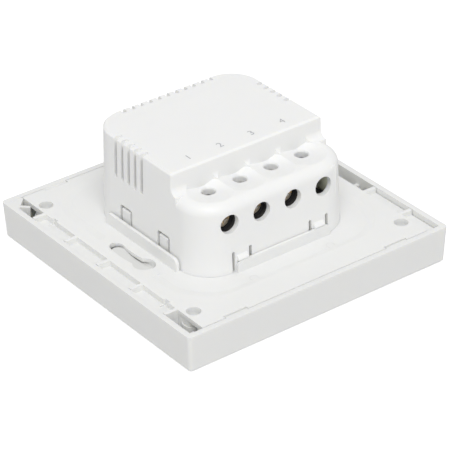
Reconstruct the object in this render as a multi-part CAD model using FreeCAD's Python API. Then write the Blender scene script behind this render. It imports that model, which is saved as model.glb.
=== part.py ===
"""Smart light switch, lying on its front face with its rear side up.

The square frame and the rocker face down (-Z), the wall side is up (+Z). The terminals are at -Y.
Everything is in millimetres, with the origin at the middle of the frame's front face.
"""
import FreeCAD
import Part
import math
import os

V = FreeCAD.Vector

# Front frame
FACE_SIDE = 80.0
SKIRT_FLARE = 0.45
FRAME_HEIGHT = 10.2
FRAME_CORNER_R = 1.0
FACE_EDGE = 0.4
FACE_WALL = 2.0
RIM_WIDTH = 1.6
OPENING_COLLAR_WALL = 1.2
OPENING_COLLAR_HEIGHT = 2.4
FRAME_RIB = 1.2
FRAME_RIB_REACH = 2.4
CORNER_FILL = 4.4
CORNER_WEB = 0.9
CORNER_WEB_REACH = 2.6
LUG_SIDE = 1.4

# Rocker, hinged near its +Y edge
ROCKER_SIDE = 55.0
ROCKER_GAP = 0.3
ROCKER_CORNER_R = 1.2
ROCKER_RECESS = 0.3
ROCKER_WALL = 1.6
ROCKER_EDGE = 0.3
ROCKER_SKIRT_WALL = 1.2
ROCKER_TRAVEL_GAP = 0.6
PIVOT_FROM_EDGE = 3.3
PIVOT_RADIUS = 1.0
PIVOT_LENGTH = 2.5
PIVOT_CLEARANCE = 0.05
PIVOT_RISE = 1.2
WINDOW_LENGTH = 6.0
WINDOW_WIDTH = 1.2
WINDOW_FROM_EDGE = 5.5

# Mounting plate
EDGE_GAP = 0.2
PLATE_SIDE_GAP = 3.75
DECK_THICKNESS = 1.3
DECK_CORNER_R = 0.6
STRINGER_WIDTH = 1.6
STRINGER_HEIGHT = 2.45
FLANGE_DROP = 1.5
FLANGE_RIB = 1.0
FLANGE_RIB_PITCH = 14.1
DECK_OPENING_MARGIN = 3.6
DECK_OPENING_R = 4.0
DISH_DEPTH = 0.3
DISH_OUTER = (63.0, 66.1, 13.1)
DISH_OUTER_Y = 2.15
DISH_INNER = (58.2, 61.95, 11.5)
DISH_INNER_Y = 1.78
ISLAND_SPAN_Y = (-13.2, 9.2)
EDGE_POCKET = 1.9
EDGE_POCKETS_AT = ((-35.4, -23.9), (-35.4, 23.9), (35.9, -26.1), (35.9, 26.1))
CORNER_HOLE_X = 32.5
CORNER_HOLE_Y = 31.6
CORNER_HOLE_R = 1.85
CORNER_BOSS_R = 3.0
CORNER_BOSS_GAP = 0.4

# Keyhole slots, on the circle of the wall box's screws
BOX_SCREW_PITCH = 60.3
KEYHOLE_HALF_WIDTH = 1.85
KEYHOLE_HEAD_R = 2.9
KEYHOLE_NARROW_ANGLE = 7.6
KEYHOLE_HEAD_ANGLE = 13.3
SCREW_HEAD_ROOM = 2.1
SHELF_OUTER_X = 34.6
SHELF_INNER_X = 28.7
SHELF_SPAN_Y = (-10.6, 4.6)

# Collar of the plate round the housing
COLLAR_X_THICKNESS = 0.85
COLLAR_X_GAP = 0.35
COLLAR_X_HEIGHT = 3.0
COLLAR_X_SPAN = (-14.8, 15.1)
COLLAR_Y_THICKNESS = 0.65
COLLAR_Y_GAP = 0.12
COLLAR_Y_HEIGHT = 2.8
COLLAR_Y_SPAN = (-13.6, 15.4)
COLLAR_END_R = 1.6

# Latches between the frame and the plate
LATCH_LENGTH = 6.7
LATCH_X = 24.95
LATCH_DEPTH = 0.95
LATCH_THICKNESS = 0.9
LATCH_BEVEL = 0.4
LATCH_CLEARANCE = 0.1

# Rear housing
TOTAL_DEPTH = 35.0
HOUSING_SIDE = 48.0
HOUSING_Y = 0.3
HOUSING_CORNER_R = 9.4
HOUSING_DRAFT = 0.75
HOUSING_WALL = 1.4
TOP_EDGE = 0.45
RISER_Y = -10.8
RISER_FOOT_R = 2.0
STEP_DROP = 5.8
STEP_WALL = 1.6
STEP_EDGE_R = 2.8
PRESS_RIB = 1.2

# Terminals
POLE_COUNT = 4
FITTED_POLES = 3
POLE_PITCH = 9.67
POLE_ROW_X = -0.45
TERMINAL_DROP = 5.5
ACCESS_HOLE_R = 2.55
SCOOP_R = 5.74
SCOOP_SHIFT = 0.35
SCOOP_Y = -15.0
SCOOP_DEPTH = 1.1
THROAT_R = 2.0
THROAT_DEPTH = 0.4
WIRE_SHIFT = 1.0
WIRE_R = 1.75
WIRE_Y = -13.3
SLEEVE_WALL = 0.6
SLEEVE_CLEARANCE = 0.1
WELL_CLEARANCE = 0.2

# Snap tongues and windows of the housing
TONGUE_X = (-11.7, 12.2)
TONGUE_SLOT_OFFSET = 2.6
TONGUE_SLOT_WIDTH = 0.85
TONGUE_LENGTH = 5.8
HOOK_REACH = 0.75
HOOK_RISE = 1.7
HOOK_CLEARANCE = 0.12
SIDE_WINDOW_Y = (8.08, -7.72)
SIDE_WINDOW_HALF = 2.55
SIDE_WINDOW_HEIGHT = 7.2
SIDE_WINDOW_GAP = 0.85

# Ventilation slots
VENT_WIDTH = 1.15
VENT_LENGTH = 9.1
VENT_TOP_DROP = 1.9
VENT_GROOVE_DEPTH = 0.7
VENT_GROOVE_REACH = 1.5
SIDE_VENT_COUNT = 5
SIDE_VENT_PITCH = 2.75
SIDE_VENT_MIDDLE_Y = 6.84
BACK_VENT_COUNT = 11
BACK_VENT_PITCH = 2.72

# Circuit boards
CARRIER_THICKNESS = 1.2
CARRIER_SIDE_GAP = 0.6
CARRIER_CORNER_R = 2.0
STANDOFF = 0.3
BOARD_DROP = 1.6
CONTROL_BOARD = (42.0, 44.0, 1.0)
CONTROL_BOARD_Y = -1.5
SEAT_PAD = 3.0
POWER_BOARD_RISE = 3.1
POWER_BOARD_THICKNESS = 1.6
POWER_BOARD_MARGIN = 0.6
SHEET_THICKNESS = 0.5
SHEET_MARGIN = 2.1
CONNECTOR_Y = 8.0
CONNECTOR_LENGTH = 15.5
CONNECTOR_WIDTH = 5.0
CONNECTOR_MARGIN = 0.5
PLUG_HEIGHT = 1.4
PIN_COUNT = 6
PIN_PITCH = 2.54
PIN_SIDE = 0.5
PIN_CLEARANCE = 0.1
PIN_END_GAP = 1.6

# Push-button switch under the rocker
TACT_SIDE = 6.2
TACT_HEIGHT = 3.2
TACT_Y = -17.0
PLUNGER_R = 1.7
PLUNGER_FLANGE_R = 2.2
PLUNGER_FLANGE = 0.6
PLUNGER_REACH = 0.6
PLUNGER_CLEARANCE = 0.08
PLUNGER_GAP = 0.06

# Terminal screws and clamps
SCREW_HEAD_R = 2.2
SCREW_HEAD_LENGTH = 1.0
SCREW_HEAD_EDGE = 0.3
SCREW_HEAD_GAP = 1.2
SCREW_SHANK_R = 1.2
SCREW_CLEARANCE = 0.08
SCREW_SLOT = 0.6
CLAMP_TRAVEL = 2.4
CLAMP_OUTER_X = 6.0
CLAMP_WALL = 0.7
CLAMP_BACK_WALL = 1.0
CLAMP_HEIGHT = 4.6
CLAMP_NECK = 1.2
CLAMP_CLEARANCE = 0.2
BAR_WIDTH = 4.2
BAR_THICKNESS = 0.8
BAR_CLEARANCE = 0.05
WIRE_GAP = 2.8
BLOCK_CLEARANCE = 0.2
BLOCK_BACK_WALL = 1.0
BLOCK_TOP_GAP = 0.2
BLANK_END_HEIGHT = 4.7
BLANK_END_LENGTH = 7.8

# Screws of the carrier, and their posts on the plate
CARRIER_SCREW_R = 1.0
CARRIER_SCREW_CLEARANCE = 0.03
CARRIER_SCREW_HEAD_R = 1.9
CARRIER_SCREW_HEAD = 1.1
CARRIER_SCREW_BITE = 0.6
CARRIER_POST_R = 2.3
CARRIER_POSTS = ((-18.0, 24.0), (18.0, 24.0), (-23.8, -23.6), (23.8, -23.6))

# Components: length along X, length along Y, height, and their place on the board
RADIO_BOARD = (18.0, 14.0, 0.8)
RADIO_AT = (-5.0, -9.0)
SHIELD = (13.0, 11.0, 1.1)
SHIELD_WALL = 0.2
SHIELD_AT = (-6.5, -9.0)
LED = (2.0, 1.4, 0.9)
RELAY = (10.2, 20.4, 15.6)
RELAY_AT = (-15.6, 1.6)
TRANSFORMER = (13.0, 13.0, 12.0)
TRANSFORMER_AT = (-2.0, -1.5)
TRANSFORMER_LEG = 1.6
TRANSFORMER_PLATE = 1.6
FILM_CAPACITOR = (13.0, 6.0, 12.0)
FILM_CAPACITOR_AT = (-1.5, 17.6)
RECTIFIER = (5.0, 6.0, 2.4)
RECTIFIER_AT = (8.9, -3.4)
COMPONENT_EDGE_R = 0.8

# Round components: radius, height or length, and their place on the board
INPUT_CAPACITOR = (4.0, 13.0)
INPUT_CAPACITOR_AT = (11.0, 16.2)
OUTPUT_CAPACITOR = (3.15, 9.0)
OUTPUT_CAPACITOR_AT = (17.6, 8.4)
INDUCTOR = (3.4, 7.4)
INDUCTOR_AT = (10.4, 6.0)
INDUCTOR_FLANGE = 1.2
VARISTOR = (4.0, 3.4)
VARISTOR_AT = (-14.2, 16.9)
FUSE_RESISTOR = (1.8, 8.0)
FUSE_RESISTOR_AT = (14.0, -3.6)

# Sizes that follow from the ones above
RIM_HALF = FACE_SIDE / 2 + SKIRT_FLARE
CAVITY_HALF = RIM_HALF - RIM_WIDTH
OPENING_SIDE = ROCKER_SIDE + 2 * ROCKER_GAP
PLATE_HALF = CAVITY_HALF - EDGE_GAP
DECK_HALF_X = CAVITY_HALF - PLATE_SIDE_GAP
DECK_Z = FRAME_HEIGHT - DECK_THICKNESS
DISH_Z = FRAME_HEIGHT - DISH_DEPTH
FLANGE_TOP_Z = FRAME_HEIGHT - FLANGE_DROP
SEAT_Z = FRAME_HEIGHT - STRINGER_HEIGHT
SLOT_R = BOX_SCREW_PITCH / 2
BOARD_BACK_Z = DECK_Z - BOARD_DROP
BOARD_Z = BOARD_BACK_Z - CONTROL_BOARD[2]
CARRIER_TOP_Z = BOARD_Z - STANDOFF
CARRIER_Z = CARRIER_TOP_Z - CARRIER_THICKNESS
ROCKER_BACK_Z = ROCKER_RECESS + ROCKER_WALL
ROCKER_SKIRT_Z = CARRIER_Z - ROCKER_TRAVEL_GAP
ROCKER_INNER = ROCKER_SIDE - 2 * ROCKER_SKIRT_WALL
PIVOT_Y = ROCKER_SIDE / 2 - PIVOT_FROM_EDGE
PIVOT_Z = ROCKER_BACK_Z + PIVOT_RISE
WINDOW_Y = WINDOW_FROM_EDGE - ROCKER_SIDE / 2
PLUNGER_TIP_Z = BOARD_Z - TACT_HEIGHT - PLUNGER_REACH
HOUSING_HALF = HOUSING_SIDE / 2
HOUSING_HEIGHT = TOTAL_DEPTH - DISH_Z
HOUSING_INNER = HOUSING_HALF - HOUSING_WALL
DECK_OPENING = 2 * (HOUSING_INNER - DECK_OPENING_MARGIN)
SHEET_SIDE = 2 * (HOUSING_INNER - SHEET_MARGIN)
STEP_Z = TOTAL_DEPTH - STEP_DROP
STEP_CEILING_Z = STEP_Z - STEP_WALL
THROAT_Z = STEP_Z - SCOOP_DEPTH
TERMINAL_Z = STEP_Z - TERMINAL_DROP
SLEEVE_R = WIRE_R + SLEEVE_WALL
SLEEVE_END_Z = TERMINAL_Z + CLAMP_HEIGHT / 2 + SLEEVE_CLEARANCE
TONGUE_TOP_Z = DISH_Z + TONGUE_LENGTH
SIDE_WINDOW_TOP_Z = DISH_Z + SIDE_WINDOW_HEIGHT
VENT_TOP_Z = TOTAL_DEPTH - VENT_TOP_DROP
VENT_BOTTOM_Z = VENT_TOP_Z - VENT_LENGTH
POWER_BOARD_Z = DISH_Z + POWER_BOARD_RISE
POWER_TOP_Z = POWER_BOARD_Z + POWER_BOARD_THICKNESS
SOCKET_Z = BOARD_BACK_Z + PLUG_HEIGHT + 3 * PIN_CLEARANCE
POLE_X = [POLE_ROW_X + (i - (POLE_COUNT - 1) / 2) * POLE_PITCH for i in range(POLE_COUNT)]
BLOCK_FRONT_Y = HOUSING_Y - HOUSING_INNER + BLOCK_CLEARANCE
BLOCK_TOP_Z = STEP_CEILING_Z - BLOCK_TOP_GAP
SCREW_HEAD_Y = BLOCK_FRONT_Y + HOUSING_DRAFT + SCREW_HEAD_GAP - BLOCK_CLEARANCE
HEAD_BACK_Y = SCREW_HEAD_Y + SCREW_HEAD_LENGTH
BAR_Y = WIRE_Y - WIRE_GAP / 2
CLAMP_BACK_Y = WIRE_Y + WIRE_GAP / 2 + CLAMP_BACK_WALL
CLAMP_FRONT_Y = HEAD_BACK_Y + CLAMP_TRAVEL + CLAMP_CLEARANCE
BLOCK_BACK_Y = CLAMP_BACK_Y + 2 * CLAMP_CLEARANCE + BLOCK_BACK_WALL


def box(x0, x1, y0, y1, z0, z1):
    """Box between two corners."""
    return Part.makeBox(x1 - x0, y1 - y0, z1 - z0, V(x0, y0, z0))


def cyl_x(y, z, radius, x0, x1):
    """Cylinder along X."""
    return Part.makeCylinder(radius, x1 - x0, V(x0, y, z), V(1, 0, 0))


def cyl_y(x, z, radius, y0, y1):
    """Cylinder along Y."""
    return Part.makeCylinder(radius, y1 - y0, V(x, y0, z), V(0, 1, 0))


def cyl_z(x, y, radius, z0, z1):
    """Cylinder along Z."""
    return Part.makeCylinder(radius, z1 - z0, V(x, y, z0), V(0, 0, 1))


def rounded_rect(width, depth, radius, z, cx=0.0, cy=0.0):
    """Closed wire of a rectangle with round corners, at one height."""
    hx = width / 2
    hy = depth / 2
    bend = radius * (1 - math.sqrt(0.5))
    edges = []
    for sx, sy, turn in ((1, 1, 0), (-1, 1, 1), (-1, -1, 2), (1, -1, 3)):
        start = V(cx + sx * hx, cy + sy * (hy - radius), z)
        middle = V(cx + sx * (hx - bend), cy + sy * (hy - bend), z)
        end = V(cx + sx * (hx - radius), cy + sy * hy, z)
        if turn % 2:
            start, end = end, start
        edges.append(Part.Arc(start, middle, end).toShape())
    sides = []
    for first, second in zip(edges, edges[1:] + edges[:1]):
        sides.append(first)
        sides.append(Part.LineSegment(first.lastVertex().Point, second.firstVertex().Point).toShape())
    return Part.Wire(sides)


def prism(width, depth, radius, z0, z1, cx=0.0, cy=0.0):
    """Upright block with round vertical edges."""
    face = Part.Face(rounded_rect(width, depth, radius, z0, cx, cy))
    return face.extrude(V(0, 0, z1 - z0))


def taper(low, high):
    """Block lofted from one rounded rectangle to another."""
    return Part.makeLoft([low, high], True, True)


def extrude_x(points, x0, x1):
    """Prism along X from (y, z) corners."""
    wire = Part.makePolygon([V(x0, y, z) for y, z in points + points[:1]])
    return Part.Face(wire).extrude(V(x1 - x0, 0, 0))


def extrude_y(points, y0, y1):
    """Prism along Y from (x, z) corners."""
    wire = Part.makePolygon([V(x, y0, z) for x, z in points + points[:1]])
    return Part.Face(wire).extrude(V(0, y1 - y0, 0))


def fuse(shapes):
    """One solid from overlapping shapes."""
    return shapes[0].multiFuse(shapes[1:]).removeSplitter()


def cut(shape, tools):
    """Take all tools away from a shape."""
    return shape.cut(Part.makeCompound(tools))


def mirror_x(shape):
    """Copy mirrored to the other X side."""
    return shape.mirror(V(0, 0, 0), V(1, 0, 0))


def mirror_y(shape):
    """Copy mirrored to the other Y side."""
    return shape.mirror(V(0, 0, 0), V(0, 1, 0))


def both_x(shape):
    """A shape and its copy at the other X side."""
    return [shape, mirror_x(shape)]


def round_edges(shape, radius, chosen):
    """Fillet the edges that the chosen test accepts."""
    edges = [edge for edge in shape.Edges if chosen(edge.BoundBox)]
    return shape.makeFillet(radius, edges)


def draft_at(z):
    """How far the housing's wall has drawn in at a height."""
    return HOUSING_DRAFT * (z - DISH_Z) / HOUSING_HEIGHT


def housing_section(z, inset=0.0):
    """Outline of the housing at a height, drawn in by a wall."""
    side = HOUSING_SIDE - 2 * (draft_at(z) + inset)
    return rounded_rect(side, side, HOUSING_CORNER_R - draft_at(z) - inset, z, 0, HOUSING_Y)


def housing_block(z0, z1, inset=0.0):
    """Drafted block with the housing's outline."""
    return taper(housing_section(z0, inset), housing_section(z1, inset))


def front_frame():
    """Square frame with its skirt, rocker opening, ribs, latches and keyhole backings."""
    flat = FACE_SIDE - 2 * FACE_EDGE
    face = rounded_rect(flat, flat, FRAME_CORNER_R - FACE_EDGE / 2, 0)
    low = rounded_rect(FACE_SIDE, FACE_SIDE, FRAME_CORNER_R, FACE_EDGE)
    high = rounded_rect(2 * RIM_HALF, 2 * RIM_HALF, FRAME_CORNER_R, FRAME_HEIGHT)
    shell = taper(face, low).fuse(taper(low, high))
    cavity = prism(2 * CAVITY_HALF, 2 * CAVITY_HALF, FRAME_CORNER_R / 2, FACE_WALL, FRAME_HEIGHT + 1)
    shell = shell.cut(cavity)
    collar_side = OPENING_SIDE + 2 * OPENING_COLLAR_WALL
    collar = prism(collar_side, collar_side, ROCKER_CORNER_R + OPENING_COLLAR_WALL,
                   FACE_WALL, FACE_WALL + OPENING_COLLAR_HEIGHT)
    pieces = [shell, collar] + frame_ribs() + frame_latches() + frame_bosses() + keyhole_backings()
    opening = prism(OPENING_SIDE, OPENING_SIDE, ROCKER_CORNER_R + ROCKER_GAP, -1, FRAME_HEIGHT)
    return fuse(pieces).cut(opening)


def frame_ribs():
    """Ribs that carry the plate, and the filled corner and the lug in the two corners at -X."""
    reach = CAVITY_HALF - FRAME_RIB_REACH
    ribs = []
    for place in (-1.5 * FLANGE_RIB_PITCH, -0.5 * FLANGE_RIB_PITCH,
                  0.5 * FLANGE_RIB_PITCH, 1.5 * FLANGE_RIB_PITCH):
        side = box(reach, CAVITY_HALF, place - FRAME_RIB / 2, place + FRAME_RIB / 2, FACE_WALL, SEAT_Z)
        end = box(place - FRAME_RIB / 2, place + FRAME_RIB / 2, reach, CAVITY_HALF, FACE_WALL, SEAT_Z)
        ribs += both_x(side)
        ribs += [end, mirror_y(end)]
    lug_x = -CAVITY_HALF + 1.2 * LUG_SIDE
    lug_y = -CAVITY_HALF + 0.85 * LUG_SIDE
    half = LUG_SIDE / 2
    lug = box(lug_x - half, lug_x + half, lug_y - half, lug_y + half, FACE_WALL, FLANGE_TOP_Z + 0.2)
    return ribs + [filled_corner(), lug]


def filled_corner():
    """Filled corner of the skirt at -X, +Y, with a web that runs from it towards the plate's corner."""
    top = FRAME_HEIGHT - EDGE_GAP / 2
    wall = CAVITY_HALF + 0.3
    side = CAVITY_HALF - CORNER_FILL
    end = DECK_HALF_X + EDGE_GAP
    corners = [(-wall, wall), (-wall, side), (-CAVITY_HALF, side), (-end, side + CAVITY_HALF - end), (-end, wall)]
    wire = Part.makePolygon([V(x, y, FACE_WALL) for x, y in corners + corners[:1]])
    fill = Part.Face(wire).extrude(V(0, 0, top - FACE_WALL))
    web = box(-0.5, CORNER_WEB_REACH, -CORNER_WEB / 2, CORNER_WEB / 2, FACE_WALL, top)
    web.rotate(V(0, 0, 0), V(0, 0, 1), -45)
    web.translate(V(-CAVITY_HALF + CORNER_WEB, side + CORNER_WEB, 0))
    return fill.fuse(web)


def frame_latches():
    """Ridges on the skirt that snap over the plate's ends."""
    top = FRAME_HEIGHT - LATCH_CLEARANCE
    low = top - LATCH_THICKNESS
    wall = CAVITY_HALF + 0.3
    nose = CAVITY_HALF - LATCH_DEPTH
    profile = [(wall, low), (nose, low), (nose, top - LATCH_BEVEL), (nose + LATCH_BEVEL, top), (wall, top)]
    half = LATCH_LENGTH / 2 - LATCH_CLEARANCE
    latch = extrude_x(profile, LATCH_X - half, LATCH_X + half)
    pair = both_x(latch)
    return pair + [mirror_y(item) for item in pair]


def frame_bosses():
    """Bosses behind the plate's corner holes."""
    return [cyl_z(sx * CORNER_HOLE_X, sy * CORNER_HOLE_Y, CORNER_BOSS_R, FACE_WALL, SEAT_Z - CORNER_BOSS_GAP)
            for sx in (-1, 1) for sy in (-1, 1)]


def keyhole_backings():
    """Shelves behind the keyhole slots, low enough for the screw heads."""
    top = DECK_Z - SCREW_HEAD_ROOM
    block = box(-SHELF_OUTER_X, -SHELF_INNER_X, *SHELF_SPAN_Y, FACE_WALL, top)
    hollow = box(-SHELF_OUTER_X - 1, -SHELF_INNER_X - FRAME_RIB, SHELF_SPAN_Y[0] + FRAME_RIB,
                 SHELF_SPAN_Y[1] - FRAME_RIB, FACE_WALL - 1, top - FRAME_RIB)
    block = block.cut(hollow)
    opposite = block.copy()
    opposite.rotate(V(0, 0, 0), V(0, 0, 1), 180)
    return [block, opposite]


def arc_slot(radius, half_width, angle0, angle1, z0, z1):
    """Curved slot round the origin with round ends."""
    def point(r, angle):
        return V(r * math.cos(math.radians(angle)), r * math.sin(math.radians(angle)), z0)

    middle = (angle0 + angle1) / 2
    inner = radius - half_width
    outer = radius + half_width
    wire = Part.Wire([
        Part.Arc(point(inner, angle0), point(inner, middle), point(inner, angle1)).toShape(),
        Part.LineSegment(point(inner, angle1), point(outer, angle1)).toShape(),
        Part.Arc(point(outer, angle1), point(outer, middle), point(outer, angle0)).toShape(),
        Part.LineSegment(point(outer, angle0), point(inner, angle0)).toShape(),
    ])
    band = Part.Face(wire).extrude(V(0, 0, z1 - z0))
    end = point(radius, angle0)
    return band.fuse(cyl_z(end.x, end.y, half_width, z0, z1))


def keyholes():
    """The two keyhole slots for the wall box's screws."""
    z0 = FACE_WALL
    z1 = FRAME_HEIGHT + 1
    head = math.radians(180 + KEYHOLE_HEAD_ANGLE)
    slot = arc_slot(SLOT_R, KEYHOLE_HALF_WIDTH, 180 - KEYHOLE_NARROW_ANGLE, 180 + KEYHOLE_HEAD_ANGLE, z0, z1)
    slot = slot.fuse(cyl_z(SLOT_R * math.cos(head), SLOT_R * math.sin(head), KEYHOLE_HEAD_R, z0, z1))
    opposite = slot.copy()
    opposite.rotate(V(0, 0, 0), V(0, 0, 1), 180)
    return [slot, opposite]


def dish_tool():
    """Shallow recess round the housing, with the keyhole areas left level."""
    outer = rounded_rect(*DISH_OUTER, FRAME_HEIGHT, 0, DISH_OUTER_Y)
    inner = rounded_rect(*DISH_INNER, DISH_Z, 0, DISH_INNER_Y)
    sink = taper(inner, outer)
    island = box(-DISH_OUTER[0] / 2 - 1, -DISH_INNER[0] / 2, *ISLAND_SPAN_Y, DISH_Z - 1, FRAME_HEIGHT + 1)
    opposite = island.copy()
    opposite.rotate(V(0, 0, 0), V(0, 0, 1), 180)
    return cut(sink, [island, opposite])


def collar_wall(length_span, outer, thickness, height):
    """Upright wall along Y at -X, with its two top corners round."""
    low, high = length_span
    crest = FRAME_HEIGHT + height
    wall = box(-outer, -outer + thickness, low, high, DISH_Z - 0.5, crest)
    return round_edges(wall, COLLAR_END_R,
                       lambda b: b.XLength > thickness / 2 and b.ZMin > crest - 0.01 and b.YLength < 0.01)


def collars():
    """The four straight walls of the plate that stand round the housing."""
    outer_x = HOUSING_HALF + COLLAR_X_GAP + COLLAR_X_THICKNESS
    side = collar_wall(COLLAR_X_SPAN, outer_x, COLLAR_X_THICKNESS, COLLAR_X_HEIGHT)
    outer_y = HOUSING_HALF + COLLAR_Y_GAP + COLLAR_Y_THICKNESS
    span = (-COLLAR_Y_SPAN[1], -COLLAR_Y_SPAN[0])
    front = collar_wall(span, outer_y, COLLAR_Y_THICKNESS, COLLAR_Y_HEIGHT)
    front.rotate(V(0, 0, 0), V(0, 0, 1), 90)
    back = mirror_y(front)
    front.translate(V(0, HOUSING_Y, 0))
    back.translate(V(0, HOUSING_Y, 0))
    return both_x(side) + [front, back]


def window_tongues():
    """Tongues of the plate that stand flush in the housing's side windows."""
    tongues = []
    half = SIDE_WINDOW_HALF - SIDE_WINDOW_GAP
    outer = HOUSING_HALF - draft_at(SIDE_WINDOW_TOP_Z)
    inner = outer - 0.8 * HOUSING_WALL
    top = SIDE_WINDOW_TOP_Z - SIDE_WINDOW_GAP
    profile = [(-outer, DISH_Z - 0.5), (-outer, top - 0.3), (-outer + 0.3, top), (-inner, top),
               (-inner, DISH_Z - 0.5)]
    for centre in SIDE_WINDOW_Y:
        tongues += both_x(extrude_y(profile, centre - half, centre + half))
    return tongues


def flange_parts():
    """Stepped-down flanges along the X sides with their cross ribs, and the stringers that carry them."""
    rib_end = 2 * FLANGE_RIB_PITCH + FLANGE_RIB / 2
    left = box(-PLATE_HALF, -DECK_HALF_X, -rib_end, rib_end, SEAT_Z, FLANGE_TOP_Z)
    pry_half = FLANGE_RIB_PITCH - FLANGE_RIB / 2
    rights = [box(DECK_HALF_X, PLATE_HALF, pry_half, PLATE_HALF, SEAT_Z, FLANGE_TOP_Z)]
    rights.append(mirror_y(rights[0]))
    ribs = []
    for step in (-2, -1, 0, 1, 2):
        middle = step * FLANGE_RIB_PITCH
        rib = box(-PLATE_HALF, -DECK_HALF_X, middle - FLANGE_RIB / 2, middle + FLANGE_RIB / 2,
                  SEAT_Z, FRAME_HEIGHT)
        ribs.append(rib)
        if step:
            ribs.append(mirror_x(rib))
    side = box(DECK_HALF_X - STRINGER_WIDTH, DECK_HALF_X, -rib_end, rib_end, SEAT_Z, FRAME_HEIGHT)
    end = box(-DECK_HALF_X, DECK_HALF_X, PLATE_HALF - 1.3 * STRINGER_WIDTH, PLATE_HALF, SEAT_Z, FRAME_HEIGHT)
    return [left] + rights + ribs + both_x(side) + [end, mirror_y(end)]


def plate_posts():
    """Posts under the deck for the carrier's screws, and pads that hold the control board."""
    posts = [cyl_z(x, y, CARRIER_POST_R, CARRIER_TOP_Z, FRAME_HEIGHT - DECK_THICKNESS / 2)
             for x, y in CARRIER_POSTS]
    edge = DECK_OPENING / 2 + 0.2
    board_edge = CONTROL_BOARD[0] / 2 - 0.2
    for y in (-13.0, 10.0):
        posts += both_x(box(edge, board_edge, y, y + SEAT_PAD, BOARD_BACK_Z, DECK_Z + DISH_DEPTH))
    return posts


def power_board_pads():
    """Pads on the dish floor that carry the power board's edges."""
    seat = HOUSING_INNER - COLLAR_X_GAP
    pads = []
    for y in (-15.5, 12.5):
        pads += both_x(box(seat - 1.4, seat, y, y + SEAT_PAD, DISH_Z - DISH_DEPTH, POWER_BOARD_Z))
    return pads


def mounting_plate():
    """Rear plate with dish, collar, keyholes, corner holes, flanges and posts."""
    deck = prism(2 * DECK_HALF_X, 2 * PLATE_HALF, DECK_CORNER_R, DECK_Z, FRAME_HEIGHT)
    body = fuse([deck] + flange_parts() + plate_posts())
    tools = [dish_tool(), prism(DECK_OPENING, DECK_OPENING, DECK_OPENING_R, 0, TOTAL_DEPTH)] + keyholes()
    for sx in (-1, 1):
        for sy in (-1, 1):
            tools.append(cyl_z(sx * CORNER_HOLE_X, sy * CORNER_HOLE_Y, CORNER_HOLE_R, 0, TOTAL_DEPTH))
    tools += [cyl_z(x, y, CARRIER_SCREW_R, 0, DECK_Z - CARRIER_SCREW_BITE / 2) for x, y in CARRIER_POSTS]
    tools += latch_notches() + edge_pockets()
    return fuse([cut(body, tools)] + collars() + window_tongues() + power_board_pads())


def latch_notches():
    """Notches in the plate's ends for the frame's latches."""
    half = LATCH_LENGTH / 2 + LATCH_CLEARANCE
    floor = FRAME_HEIGHT - LATCH_THICKNESS - 2 * LATCH_CLEARANCE
    notch = box(LATCH_X - half, LATCH_X + half, CAVITY_HALF - LATCH_DEPTH - 0.15, CAVITY_HALF + 1,
                floor, FRAME_HEIGHT + 1)
    pair = both_x(notch)
    return pair + [mirror_y(item) for item in pair]


def edge_pockets():
    """Small square pockets in the plate's X edges."""
    half = EDGE_POCKET / 2
    return [box(x - half, x + half, y - half, y + half, SEAT_Z + 0.6, FRAME_HEIGHT + 1)
            for x, y in EDGE_POCKETS_AT]


def housing_outer():
    """Outer form: a low body with a round step edge, and the tall body behind its riser."""
    low = housing_block(DISH_Z, STEP_Z)
    low = round_edges(low, STEP_EDGE_R, lambda b: b.ZMin > STEP_Z - 0.01)
    edge_z = TOTAL_DEPTH - TOP_EDGE
    crown = taper(housing_section(edge_z), housing_section(TOTAL_DEPTH, TOP_EDGE))
    tall = housing_block(STEP_Z - 2 * STEP_EDGE_R, edge_z).fuse(crown)
    bevel = [(-HOUSING_SIDE, 0), (RISER_Y, 0), (RISER_Y, edge_z), (RISER_Y + TOP_EDGE, TOTAL_DEPTH),
             (RISER_Y + TOP_EDGE, 2 * TOTAL_DEPTH), (-HOUSING_SIDE, 2 * TOTAL_DEPTH)]
    tall = tall.cut(extrude_x(bevel, -HOUSING_SIDE, HOUSING_SIDE))
    return low.fuse(tall).fuse(riser_foot())


def riser_foot():
    """Hollow-curved foot between the step and the riser, filled down to the step's round edge at its ends."""
    arc_mid = RISER_FOOT_R * (1 - math.sqrt(0.5))
    top = V(-HOUSING_HALF, RISER_Y, STEP_Z + RISER_FOOT_R)
    toe = V(-HOUSING_HALF, RISER_Y - RISER_FOOT_R, STEP_Z)
    middle = V(-HOUSING_HALF, RISER_Y - arc_mid, STEP_Z + arc_mid)
    sunk = V(0, 0, -STEP_EDGE_R)
    back = V(0, RISER_FOOT_R + 0.2, -STEP_EDGE_R)
    wire = Part.Wire([
        Part.Arc(top, middle, toe).toShape(),
        Part.LineSegment(toe, toe + sunk).toShape(),
        Part.LineSegment(toe + sunk, toe + back).toShape(),
        Part.LineSegment(toe + back, top + V(0, 0.2, 0)).toShape(),
        Part.LineSegment(top + V(0, 0.2, 0), top).toShape(),
    ])
    foot = Part.Face(wire).extrude(V(HOUSING_SIDE, 0, 0))
    return foot.common(housing_block(DISH_Z, STEP_Z + 2 * RISER_FOOT_R))


def housing_cavity():
    """Space inside the housing, lower under the step."""
    ceiling = TOTAL_DEPTH - HOUSING_WALL
    full = housing_block(DISH_Z - 0.001, ceiling, HOUSING_WALL)
    over_step = box(-HOUSING_SIDE, HOUSING_SIDE, -HOUSING_SIDE, RISER_Y + HOUSING_WALL,
                    STEP_CEILING_Z, 2 * TOTAL_DEPTH)
    return full.cut(over_step)


def circle(x, y, radius, z):
    """Closed level circle."""
    return Part.Wire([Part.makeCircle(radius, V(x, y, z))])


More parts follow.
